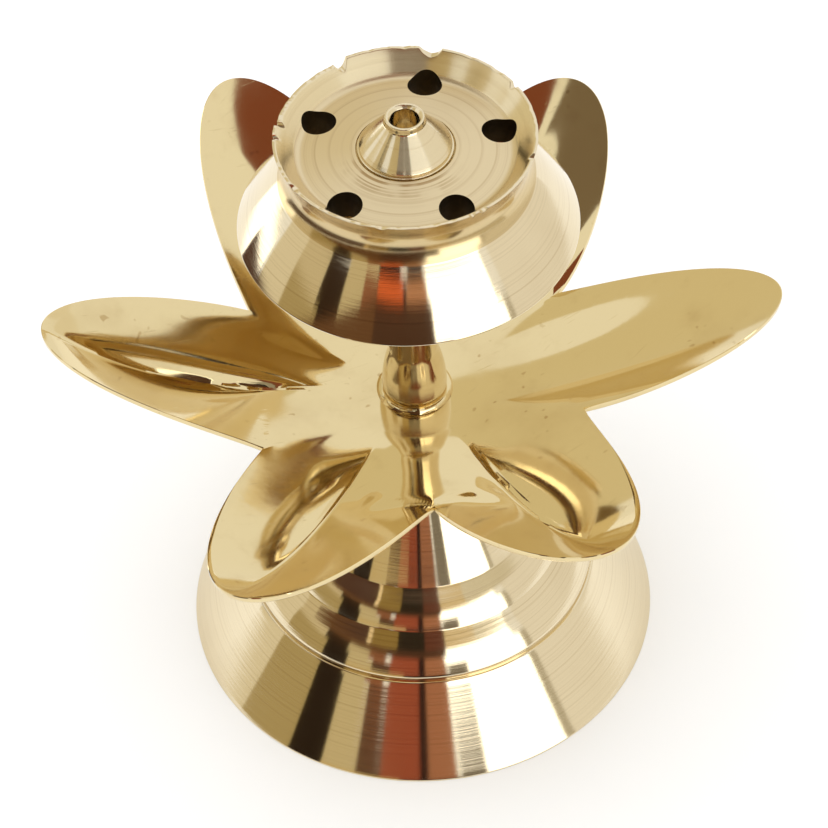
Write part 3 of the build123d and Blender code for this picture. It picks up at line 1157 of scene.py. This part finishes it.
@dataclass
class Stem:
    """Turned sleeve with a rounded foot, a cone, a bead and a flared head."""

    bore: float = 2.1
    shaft: float = 3.0
    foot: float = 3.95
    foot_round: float = 0.55
    foot_bulge: float = 0.25
    head: float = 6.0
    low: float = 41.5
    cone_top: float = 48.0
    bead: float = 1.0
    bead_height: float = 56.25
    head_foot: float = 64.5
    head_edge: float = 70.3
    high: float = 71.5
    segments: int = 160

    def outline(self) -> Outline:
        """Half section of the sleeve.

        Returns:
            The outline.
        """
        flare = tangent_bulge(
            (self.shaft, self.head_foot), (self.head, self.head_edge), (0.0, 1.0))
        quarter = self.foot_round * (1 - math.sqrt(0.5))
        return Outline(
            Corner(self.bore, self.low),
            Corner(self.foot - self.foot_round, self.low, 0.0, -quarter),
            Corner(self.foot, self.low + self.foot_round, 0.2, -self.foot_bulge),
            Corner(self.shaft, self.cone_top, 0.5),
            Corner(self.shaft, self.bead_height - self.bead, 0.08, -self.bead),
            Corner(self.shaft, self.bead_height + self.bead, 0.08),
            Corner(self.shaft, self.head_foot, 0.0, flare),
            Corner(self.head, self.head_edge, 0.12),
            Corner(self.head, self.high, 0.15),
            Corner(self.bore, self.high),
        )

    def build(self) -> None:
        """Makes and dresses the stem."""
        piece = turned(self.outline(), self.segments).piece("stem_sleeve", Metal.POLISHED)
        dress(piece, "stem", Body.PILLAR, Slot.POLISHED)


@dataclass(frozen=True)
class Nick:
    """A filed or knocked place in the rim: its bearing, its reach to each side and its depth."""

    bearing: float
    reach: float
    depth: float


@dataclass
class Cup:
    """Bowl with stick holes, a flared ragged lip, and a bell round the boss on the stem."""

    bore: float = 3.06
    boss: float = 6.5
    ceiling: float = 13.3
    bell: float = 19.9
    bell_wall: float = 2.0
    bell_bulge: float = 0.26
    waist: float = 13.6
    rim: float = 15.0
    lip: float = 14.6
    floor: float = 12.3
    seat: float = 5.65
    low: float = 71.5
    bell_z: float = 69.5
    ceiling_z: float = 77.0
    waist_z: float = 78.5
    floor_z: float = 80.5
    rim_z: float = 83.1
    floor_rise: float = 0.8
    seat_z: float = 81.0
    hole_radius: float = 2.0
    hole_circle: float = 11.0
    hole_bearings: tuple[float, ...] = (14.0, 77.0, 152.5, 230.5, 299.5)
    drill_z: float = 78.5
    drill_length: float = 8.0
    drill_sides: int = 72
    nicks: tuple[Nick, ...] = (
        Nick(31.1, 0.5, 0.45), Nick(76.8, 1.35, 0.7), Nick(119.5, 0.9, 0.95),
        Nick(168.4, 0.6, 0.8), Nick(178.3, 0.45, 0.5), Nick(211.6, 0.7, 0.4),
        Nick(258.4, 0.6, 0.35), Nick(298.6, 0.4, 0.45), Nick(304.1, 0.5, 0.55),
        Nick(342.8, 0.45, 0.4),
    )
    ragged: float = 0.12
    ragged_seed: int = 11
    ragged_level: float = 0.15
    ragged_waves: tuple[tuple[int, float], ...] = ((9, 0.35), (23, 0.3), (47, 0.22), (90, 0.13))
    worn_deg: tuple[float, float] = (121.0, 168.0)
    worn_depth: float = 0.35
    worn_end: float = 0.5
    band: float = 1.9
    band_share: float = 0.8
    wall_margin: float = 0.12
    sharp_deg: float = 32.0
    segments: int = 432

    def outline(self) -> Outline:
        """Half section of the cup.

        Returns:
            The outline.
        """
        under, floor = Surface.UNDERSIDE, Surface.FLOOR
        return Outline(
            Corner(self.bore, self.low, 0.0, 0.0, under),
            Corner(self.boss, self.low, 0.2, 0.0, under),
            Corner(self.boss, self.ceiling_z, 0.6, 0.0, under),
            Corner(self.ceiling, self.ceiling_z, 0.6, 0.2, under),
            Corner(self.bell - self.bell_wall, self.bell_z, 0.2),
            Corner(self.bell, self.bell_z, 0.22, -self.bell_bulge),
            Corner(self.waist, self.waist_z, 1.8, 0.3, Surface.COVE),
            Corner(self.rim, self.rim_z, 0.1),
            Corner(self.lip, self.rim_z, 0.1, 0.0, Surface.WALL),
            Corner(self.floor, self.floor_z, 0.5, 0.0, floor),
            Corner(self.seat, self.floor_z + self.floor_rise, 0.1, 0.0, floor),
            Corner(self.seat, self.seat_z, 0.05, 0.0, under),
            Corner(self.bore, self.seat_z, 0.1, 0.0, under),
        )

    def rim_drop(self, bearings: np.ndarray) -> np.ndarray:
        """How far the rim lies below its full height.

        Args:
            bearings: places round the axis, in radians.

        Returns:
            Depths of the filed nicks, of the worn stretch and of the ragged edge.
        """
        drop = np.zeros_like(bearings)
        for nick in self.nicks:
            away = (bearings - math.radians(nick.bearing) + math.pi) % (2 * math.pi) - math.pi
            drop = np.maximum(drop, nick.depth * (1 - (away * self.rim / nick.reach) ** 2))
        low, high = np.radians(self.worn_deg)
        inside = np.minimum(bearings - low, high - bearings) * self.rim
        drop = np.maximum(drop, np.clip(inside / self.worn_end, 0.0, 1.0) * self.worn_depth)
        chips = np.random.default_rng(self.ragged_seed)
        edge = np.zeros_like(bearings)
        for waves, share in self.ragged_waves:
            edge += share * np.sin(waves * bearings + chips.uniform(0.0, 2 * math.pi))
        return drop + self.ragged * np.clip(edge + self.ragged_level, 0.0, 1.0)

    def shift(self, radii: np.ndarray, heights: np.ndarray,
              bearings: np.ndarray) -> tuple[np.ndarray, np.ndarray]:
        """Lowers the lip to its ragged rim, along the slope of its own walls.

        Args:
            radii: radius of each place of a ring.
            heights: height of each place.
            bearings: bearing of each place.

        Returns:
            The moved radii and heights.
        """
        foot = self.rim_z - self.band
        if heights[0] <= foot or radii[0] < self.floor:
            return radii, heights
        share = (heights - foot) / self.band
        fall = share * np.minimum(self.rim_drop(bearings), self.band * self.band_share)
        slope_in = (self.lip - self.floor) / (self.rim_z - self.floor_z)
        slope_out = (self.rim - self.waist) / (self.rim_z - self.waist_z)
        wall = self.floor + slope_in * (heights[0] - self.floor_z)
        inside = radii[0] < wall + self.wall_margin
        return radii - fall * (slope_in if inside else slope_out), heights - fall

    def holes(self) -> Tree:
        """Nodes that drill the stick holes.

        Returns:
            The tree.
        """
        names = [f"Bearing {index + 1}" for index in range(len(self.hole_bearings))]
        tree = Tree("stick_holes", {
            "Sides": self.drill_sides, "Circle": self.hole_circle * MM, "Middle": self.drill_z * MM,
            "Radius": self.hole_radius * MM, "Length": self.drill_length * MM,
            **dict(zip(names, map(math.radians, self.hole_bearings))),
        })
        bench, value = tree.bench, tree.value
        drill = bench.term("GeometryNodeMeshCylinder", sockets={
            "Vertices": value("Sides"), "Radius": value("Radius"), "Depth": value("Length")})
        join = bench.node("GeometryNodeJoinGeometry")
        for name in names:
            x, y = (value("Circle") * value(name).apply(turn) for turn in ("COSINE", "SINE"))
            moved = bench.term("GeometryNodeTransform", sockets={
                "Geometry": drill, "Translation": bench.join(x, y, value("Middle"))})
            tree.group.links.new(moved.socket, join.inputs["Geometry"])
        drills = Term(bench, join.outputs["Geometry"])
        # The drilled walls take the near-black hole finish, painted shade inside the holes.
        return tree.close(bench.term(
            "GeometryNodeMeshBoolean", {"operation": "DIFFERENCE", "solver": "EXACT"},
            {"Mesh 1": value("Geometry"), "Mesh 2": tree.dressed(drills, Metal.HOLE_SHADE)}))

    def build(self) -> None:
        """Makes, drills and dresses the cup."""
        piece = turned(self.outline(), self.segments, self.shift).piece(
            "cup_bell", Metal.TURNED, Metal.UNDERSIDE, Metal.FLOOR, Metal.WALL, Metal.COVE)
        piece.data = self.holes().run(piece.data, {})
        smooth(piece.data, self.sharp_deg)
        dress(piece, "cup", Body.BURNER, Slot.TURNED)


def washer_outline(bore: float, outer: float, low: float, high: float, *edges: float) -> Outline:
    """Half section of a flat washer. Its edges' roundings start at the lower inner one."""
    corners = ((bore, low), (outer, low), (outer, high), (bore, high))
    return Outline(*(Corner(*corner, edge) for corner, edge in zip(corners, edges)))


@dataclass
class ConeNut:
    """Cone with the centre stick hole, its threaded socket and shank, and the washer under it."""

    socket: float = 2.05
    shank: float = 3.0
    shank_z: float = 72.55
    foot: float = 5.3
    foot_z: float = 81.45
    foot_lip: float = 0.3
    top: float = 2.25
    tip: float = 0.75
    tip_taper: float = 0.12
    top_z: float = 85.9
    hole: float = 1.6
    hole_bevel: float = 0.35
    hole_depth: float = 5.0
    socket_top: float = 79.7
    washer: float = 5.5
    washer_bore: float = 3.1
    washer_z: float = 81.0
    washer_edges: tuple[float, ...] = (0.06, 0.1, 0.12, 0.06)
    segments: int = 192

    def outline(self) -> Outline:
        """Half section of the cone.

        Returns:
            The outline.
        """
        return Outline(
            Corner(self.socket, self.shank_z, 0.1),
            Corner(self.shank, self.shank_z, 0.2),
            Corner(self.shank, self.foot_z, 0.1),
            Corner(self.foot, self.foot_z, 0.06),
            Corner(self.foot, self.foot_z + self.foot_lip, 0.12),
            Corner(self.top + self.tip_taper, self.top_z - self.tip, 0.15),
            Corner(self.top, self.top_z, 0.1),
            Corner(self.hole + self.hole_bevel, self.top_z, 0.08),
            Corner(self.hole, self.top_z - self.hole_bevel, 0.08),
            Corner(self.hole, self.top_z - self.hole_depth, 0.2),
            Corner(0.0, self.top_z - self.hole_depth),
            Corner(0.0, self.socket_top),
            Corner(self.socket, self.socket_top, 0.1),
        )

    def build(self) -> None:
        """Makes and dresses the cone and its washer."""
        ring = washer_outline(
            self.washer_bore, self.washer, self.washer_z, self.foot_z, *self.washer_edges)
        for outline, name, node, body in (
                (self.outline(), "cone_nut", "stick_cone", Body.CONE),
                (ring, "cone_ring", "cone_washer", Body.LIFT_WASHER)):
            piece = turned(outline, self.segments).piece(name, Metal.POLISHED)
            dress(piece, node, body, Slot.POLISHED)


@dataclass
class Fixing:
    """Threaded rod with the nut and the two washers under the base."""

    rod: float = 2.0
    pitch: float = 0.7
    thread_depth: float = 0.38
    rod_low: float = 3.9
    rod_high: float = 79.3
    turn_rows: int = 8
    rod_columns: int = 37
    thread_run: tuple[float, float] = (0.1, 0.9)
    rod_near: float = 0.001
    rod_merge: float = 0.0005
    rod_sharp_deg: float = 60.0
    bore: float = 2.1
    plain_outer: float = 4.5
    plain_low: float = 9.6
    ceiling: float = 10.4
    spring_outer: float = 3.7
    spring_low: float = 8.6
    washer_edges: tuple[float, ...] = (0.08, 0.12, 0.12, 0.08)
    washer_segments: int = 120
    washer_sharp_deg: float = 38.0
    slit: float = 0.6
    slit_slant_deg: float = 22.0
    spring_steps: int = 97
    nut_low: float = 5.4
    nut_flats: float = 7.0
    nut_bevel: float = 0.35
    nut_bore: float = 2.05
    nut_lead: float = 0.3
    nut_face_share: float = 0.97
    nut_edge: float = 0.02
    nut_segments: int = 96
    nut_sharp_deg: float = 20.0

    def rod_tree(self) -> Tree:
        """Nodes that wind the thread: a tube whose radius rises and falls along a helix.

        Returns:
            The tree.
        """
        turns = (self.rod_high - self.rod_low) / self.pitch
        tree = Tree("rod_thread", {
            "Rows": int(turns * self.turn_rows), "Columns": self.rod_columns,
            "Radius": self.rod, "Pitch": self.pitch, "Depth": self.thread_depth,
            "Low": self.rod_low, "High": self.rod_high,
        })
        bench, value = tree.bench, tree.value
        grid, out, around = tree.grid()
        low, high = value("Low"), value("High")
        height = low + (high - low) * out
        phase = (height / value("Pitch") - around).apply("FRACT")
        flank = abs(phase * 2.0 - 1.0).ease(*self.thread_run)
        crest = value("Radius") - value("Depth") * flank
        near_end = (height - low).apply("MINIMUM", high - height)
        radius = crest.apply("MINIMUM", value("Radius") - value("Pitch") + near_end)
        shut = near_end.apply("GREATER_THAN", self.rod_near)
        bearing = around * (2 * math.pi)
        x, y = (radius * shut * bearing.apply(turn) for turn in ("COSINE", "SINE"))
        merged = bench.term("GeometryNodeMergeByDistance", sockets={
            "Geometry": tree.moved(grid, x, y, height), "Distance": self.rod_merge})
        return tree.close(tree.dressed(merged, Metal.PLATED))

    def rod_draft(self) -> Draft:
        """The threaded rod."""
        mesh = self.rod_tree().run(bpy.data.meshes.new("rod_threaded"), {})
        return Draft(places_of(mesh), [tuple(face.vertices) for face in mesh.polygons])

    def ring_outline(self, outer: float, low: float, high: float) -> Outline:
        """Half section of one of the washers."""
        return washer_outline(self.bore, outer, low, high, *self.washer_edges)

    def spring_draft(self) -> Draft:
        """The split washer: a ring cut through on a slant.

        Returns:
            The closed mesh.
        """
        rows, _ = self.ring_outline(self.spring_outer, self.spring_low, self.plain_low).points()
        count, steps = len(rows), self.spring_steps
        middle = (self.spring_low + self.plain_low) / 2
        slant = math.tan(math.radians(self.slit_slant_deg))
        places = []
        for step in range(steps):
            for radius, height in rows:
                start = self.slit / 2 / radius - (height - middle) * slant / radius
                bearing = start + (2 * math.pi - self.slit / radius) * step / (steps - 1)
                places.append((radius * math.cos(bearing), radius * math.sin(bearing), height))
        faces = quads(steps, count, shut=False)
        faces.append(tuple(range(count))[::-1])
        faces.append(tuple(range((steps - 1) * count, steps * count)))
        return Draft(np.array(places), faces)

    def nut_draft(self) -> Draft:
        """The hexagon nut, its corners bevelled at both faces.

        Returns:
            The closed mesh.
        """
        segments, face = self.nut_segments, self.nut_flats / 2
        bearings, level = np.arange(segments) * 2 * math.pi / segments, np.ones(segments)
        turn = (bearings + math.pi / 6) % (math.pi / 3) - math.pi / 6
        hexagon = face / np.cos(turn)
        corner = face / math.cos(math.pi / 6)
        fall = self.nut_bevel * (hexagon - face) / (corner - face) + self.nut_edge
        bore, lead, flat = self.nut_bore, self.nut_lead, face * self.nut_face_share
        low, high = self.nut_low, self.spring_low
        rings = (
            (bore, low + lead), (bore + lead, low), (flat, low), (hexagon, low + fall),
            (hexagon, high - fall), (flat, high), (bore + lead, high), (bore, high - lead),
        )
        cosines, sines = np.cos(bearings), np.sin(bearings)
        places = [np.column_stack((radius * cosines, radius * sines, height * level))
                  for radius, height in rings]
        return Draft(np.concatenate(places), quads(len(rings), segments))

    def build(self) -> None:
        """Makes and dresses the rod, the washers and the nut."""
        plain = turned(
            self.ring_outline(self.plain_outer, self.plain_low, self.ceiling), self.washer_segments)
        for draft, name, node, sharp_deg in (
                (self.rod_draft(), "rod_threaded", "tie_rod", self.rod_sharp_deg),
                (plain, "washer_plain", "plain_washer", self.washer_sharp_deg),
                (self.spring_draft(), "washer_spring", "spring_washer", self.washer_sharp_deg),
                (self.nut_draft(), "nut_hexagon", "hex_nut", self.nut_sharp_deg)):
            piece = draft.piece(name, Metal.PLATED, sharp_deg=sharp_deg)
            dress(piece, node, Body.STAND, Slot.STEEL)


@dataclass(frozen=True)
class Card:
    """A reflector that only the metal sees: part of an upright wall round the stand.

    It runs from a start to an end, which are bearings in degrees from the camera's side rightwards.
    A rise is how far an edge climbs on the way. A ceiling has two distances instead of two heights.
    """

    name: str
    start: float
    end: float
    low: float
    high: float
    colour: Colour
    strength: float = 1.0
    distance: float = 450.0
    upper_distance: Optional[float] = None
    low_rise: float = 0.0
    high_rise: float = 0.0


@dataclass
class Studio:
    """Pale floor, soft light, reflectors and the camera at the photograph's place."""

    eye: tuple[float, float, float] = (0.0, -259.26, 327.6)
    yaw_deg: float = 0.052
    pitch_deg: float = -48.37
    roll_deg: float = 2.25
    focal_pixels: float = 3163.6
    sensor: float = 36.0
    clip: tuple[float, float] = (10.0, 50000.0)
    floor_size: float = 3000.0
    floor_greys: tuple[float, float] = (0.95, 0.96)
    floor_waves: float = 3.0
    seen_white: float = 1.0
    lit_white: float = 1.12
    lamp_size: float = 900.0
    lamp_power: float = 1.6
    lamp_place: tuple[float, float, float] = (-250.0, -100.0, 1100.0)
    card_steps: int = 12
    cards: tuple[Card, ...] = (
        Card("window_high", 11, 54, 160, 327, (1.0, 1.0, 1.0), 2.6, high_rise=-35),
        Card("window_low", 23, 57, 1, 160, (1.0, 1.0, 1.0), 2.6),
        Card("window_edge", 57, 61, 1, 160, (0.55, 0.50, 0.40)),
        Card("hatch_low", 13, 23, 1, 147, (0.22, 0.19, 0.15), high_rise=-2),
        Card("hatch_high", 13, 23, 147, 160, (1.0, 1.0, 1.0), 2.0, low_rise=-2),
        Card("window_left", -132, -101, 15, 72, (1.0, 1.0, 0.97), 2.2, distance=220, high_rise=6),
        Card("black_left", -24, -7.5, 306, 372, (0.012, 0.011, 0.01)),
        Card("black_right", -2.5, 9, 306, 366, (0.02, 0.018, 0.016)),
        Card("black_link", -7.5, -2.5, 306, 318, (0.06, 0.05, 0.05)),
        Card("orange_card", -23, -4.5, 251, 306, (0.85, 0.17, 0.05)),
        Card("copper_card", -4.5, 10.5, 251, 306, (0.62, 0.30, 0.16)),
        Card("dark_post", -5.6, -3.4, 251, 298, (0.06, 0.025, 0.02), distance=447),
        Card("russet_card", -33, -23, 160, 300, (0.30, 0.12, 0.06)),
        Card("dark_sill", -22, 12, 62, 117, (0.085, 0.042, 0.024), distance=119),
        Card("brown_low", -30, -20, 80, 147, (0.10, 0.05, 0.03)),
        Card("brown_high", -30, -20, 147, 160, (0.36, 0.15, 0.08)),
        Card("gold_foot", -44, -12, 1, 80, (0.62, 0.48, 0.24)),
        Card("red_low", -20, -4, 80, 251, (0.36, 0.09, 0.048)),
        Card("line_low", -4, -0.5, 80, 251, (0.03, 0.015, 0.012)),
        Card("copper_low", -0.5, 11, 80, 251, (0.42, 0.18, 0.10)),
        Card("dark_foot", -12, 13, 1, 80, (0.06, 0.03, 0.02)),
        Card("tan_near", -44, -30, 80, 150, (0.62, 0.52, 0.31)),
        Card("tan_near_high", -46, -33, 150, 480, (0.62, 0.52, 0.31)),
        Card("tan_over", -33, -23, 300, 480, (0.62, 0.52, 0.31)),
        Card("dark_bar", -58.5, -44, 1, 150, (0.025, 0.015, 0.009)),
        Card("dark_bar_high", -61, -46, 150, 294, (0.04, 0.022, 0.012)),
        Card("olive_wall", -82, -58, 1, 150, (0.46, 0.36, 0.17)),
        Card("olive_wall_high", -82, -61, 150, 480, (0.66, 0.56, 0.36)),
        Card("grey_bar", -72, -62, 270, 315, (0.10, 0.09, 0.07), distance=446),
        Card("brown_band", -70, -22, 62, 68, (0.15, 0.072, 0.032), distance=120, high_rise=50),
        Card("right_wall", 61, 130, 1, 420, (0.92, 0.88, 0.80)),
        Card("back_wall", -178, -112, 90, 560, (0.78, 0.70, 0.50)),
        Card("pale_wall", -101, -82, 1, 250, (0.80, 0.72, 0.54)),
        Card("left_high", -61, -24, 480, 560, (0.42, 0.31, 0.14)),
        Card("grey_card", -24, 12, 372, 560, (0.36, 0.34, 0.31)),
        Card("viewer", -60, 18, 560, 900, (0.20, 0.09, 0.055)),
        Card("ceiling_right", -6, 78, 620, 620, (0.24, 0.075, 0.04),
             distance=60, upper_distance=430),
        Card("ceiling_left", -125, -20, 620, 620, (0.22, 0.17, 0.12),
             distance=150, upper_distance=430),
        Card("ledge_brown", -110, -33, 46, 66, (0.09, 0.045, 0.03), distance=70),
        Card("ledge_line", -34, -31.5, 46, 66, (0.95, 0.75, 0.45), distance=69),
        Card("ledge_olive", -33, -16, 46, 66, (0.30, 0.20, 0.06), distance=70),
        Card("ledge_black", -16, 0, 46, 66, (0.03, 0.022, 0.014), distance=70),
        Card("ledge_red", 0, 12, 46, 66, (0.14, 0.05, 0.03), distance=70),
        Card("ledge_tan", 12, 30, 46, 66, (0.72, 0.57, 0.33), distance=70),
        Card("ledge_pale", 30, 80, 46, 66, (0.72, 0.66, 0.52), distance=70),
    )

    @staticmethod
    def stage(name: str, places: Sequence[Sequence[float]], faces: Sequence[tuple[int, ...]],
              material: bpy.types.Material, hidden: Sequence[str] = ()) -> None:
        """Adds a mesh that is no part of the stand.

        Args:
            name: its name.
            places: places of its corners.
            faces: the corners of each face.
            material: what it is made of.
            hidden: kinds of rays that pass through it.
        """
        mesh = bpy.data.meshes.new(name)
        mesh.from_pydata((np.array(places) * MM).tolist(), [], faces)
        mesh.materials.append(material)
        made = put(name, mesh)
        for rays in hidden:
            setattr(made, f"visible_{rays}", False)
        made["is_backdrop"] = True

    def floor(self) -> None:
        """A pale floor under the stand."""
        size = self.floor_size
        material = bpy.data.materials.new("pale_floor")
        bench = NodeBench.cleared(material)
        greys = ((grey, grey, grey, 1.0) for grey in self.floor_greys)
        bench.emit(bench.term("ShaderNodeBsdfPrincipled", sockets={
            "Base Color": bench.blend(bench.noise(self.floor_waves, 2.0), *greys),
            "Roughness": 1.0, "Specular IOR Level": 0.0}))
        places = [(-size, -size, 0.0), (size, -size, 0.0), (size, size, 0.0), (-size, size, 0.0)]
        self.stage("floor", places, [(0, 1, 2, 3)], material)

    def card(self, card: Card) -> None:
        """Hangs one reflector on its place round the stand.

        Args:
            card: the reflector.
        """
        steps, columns = self.card_steps, self.card_steps + 1
        places = []
        for height, rise, distance in (
                (card.low, card.low_rise, card.distance),
                (card.high, card.high_rise, card.upper_distance or card.distance)):
            for share in np.linspace(0.0, 1.0, columns):
                bearing = math.radians(card.start + (card.end - card.start) * share)
                places.append((distance * math.sin(bearing), -distance * math.cos(bearing),
                               height + rise * share))
        faces = [(step, step + 1, columns + step + 1, columns + step) for step in range(steps)]
        material = bpy.data.materials.new(card.name)
        bench = NodeBench.cleared(material)
        bench.emit(bench.term("ShaderNodeEmission", sockets={
            "Color": (*card.colour, 1.0), "Strength": card.strength}))
        self.stage(card.name, places, faces, material, ("camera", "diffuse", "shadow"))

    def light(self) -> None:
        """Even white surroundings and one wide soft lamp overhead."""
        world = bpy.data.worlds.new("studio")
        bpy.context.scene.world = world
        bench = NodeBench.cleared(world)
        path = bench.node("ShaderNodeLightPath")
        seen = Term(bench, path.outputs["Is Camera Ray"])
        for name in ("Is Glossy Ray", "Is Transmission Ray"):
            seen = seen.apply("MAXIMUM", Term(bench, path.outputs[name]))
        white, soft = (bench.term("ShaderNodeBackground", sockets={
            "Color": (1.0, 1.0, 1.0, 1.0), "Strength": strength})
            for strength in (self.seen_white, self.lit_white))
        mixed = bench.term("ShaderNodeMixShader", sockets={0: seen, 1: soft, 2: white})
        bench.emit(mixed, "ShaderNodeOutputWorld")
        lamp = bpy.data.lights.new("overhead", "AREA")
        lamp.shape = "DISK"
        lamp.size = self.lamp_size * MM
        lamp.energy = self.lamp_power
        made = put("overhead", lamp)
        made.location = Vector(self.lamp_place) * MM
        made.rotation_euler = (-made.location).to_track_quat("-Z", "Y").to_euler()
        made.visible_glossy = False

    def camera(self) -> None:
        """The camera, where the photograph was taken from."""
        turns = ((self.yaw_deg, "Z"), (self.pitch_deg, "X"), (self.roll_deg, "Y"))
        yaw, pitch, roll = (Matrix.Rotation(math.radians(deg), 3, axis) for deg, axis in turns)
        turn = yaw @ pitch @ roll
        right, ahead, up = turn.col[0], turn.col[1], turn.col[2]
        axes = Matrix((right, up, -ahead)).transposed()
        data = bpy.data.cameras.new("photo_camera")
        data.sensor_width = self.sensor
        data.lens = self.focal_pixels / PHOTO_PIXELS * self.sensor
        data.clip_start, data.clip_end = (distance * MM for distance in self.clip)
        made = put("photo_camera", data)
        made.matrix_world = Matrix.Translation(Vector(self.eye) * MM) @ axes.to_4x4()
        bpy.context.scene.camera = made

    def build(self) -> None:
        """Sets up the studio."""
        self.floor()
        for card in self.cards:
            self.card(card)
        self.light()
        self.camera()
        bpy.context.scene.view_settings.view_transform = "Standard"


def write_sizes() -> None:
    """Works out the solid model's box and the dressed model's box, and keeps neither."""
    boxes = {"cad": SOLID_BOX, "visual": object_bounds()}
    {name: [list(corner) for corner in box] for name, box in boxes.items()}


def main() -> None:
    """Builds the stand from the floor up and sets it in the studio."""
    logging.basicConfig(level=logging.INFO, format="%(name)s %(message)s")
    for assembly in (Base(), Lotus(), Stem(), Cup(), ConeNut(), Fixing()):
        assembly.build()
    Studio().build()
    write_sizes()


if __name__ == "__main__":
    main()
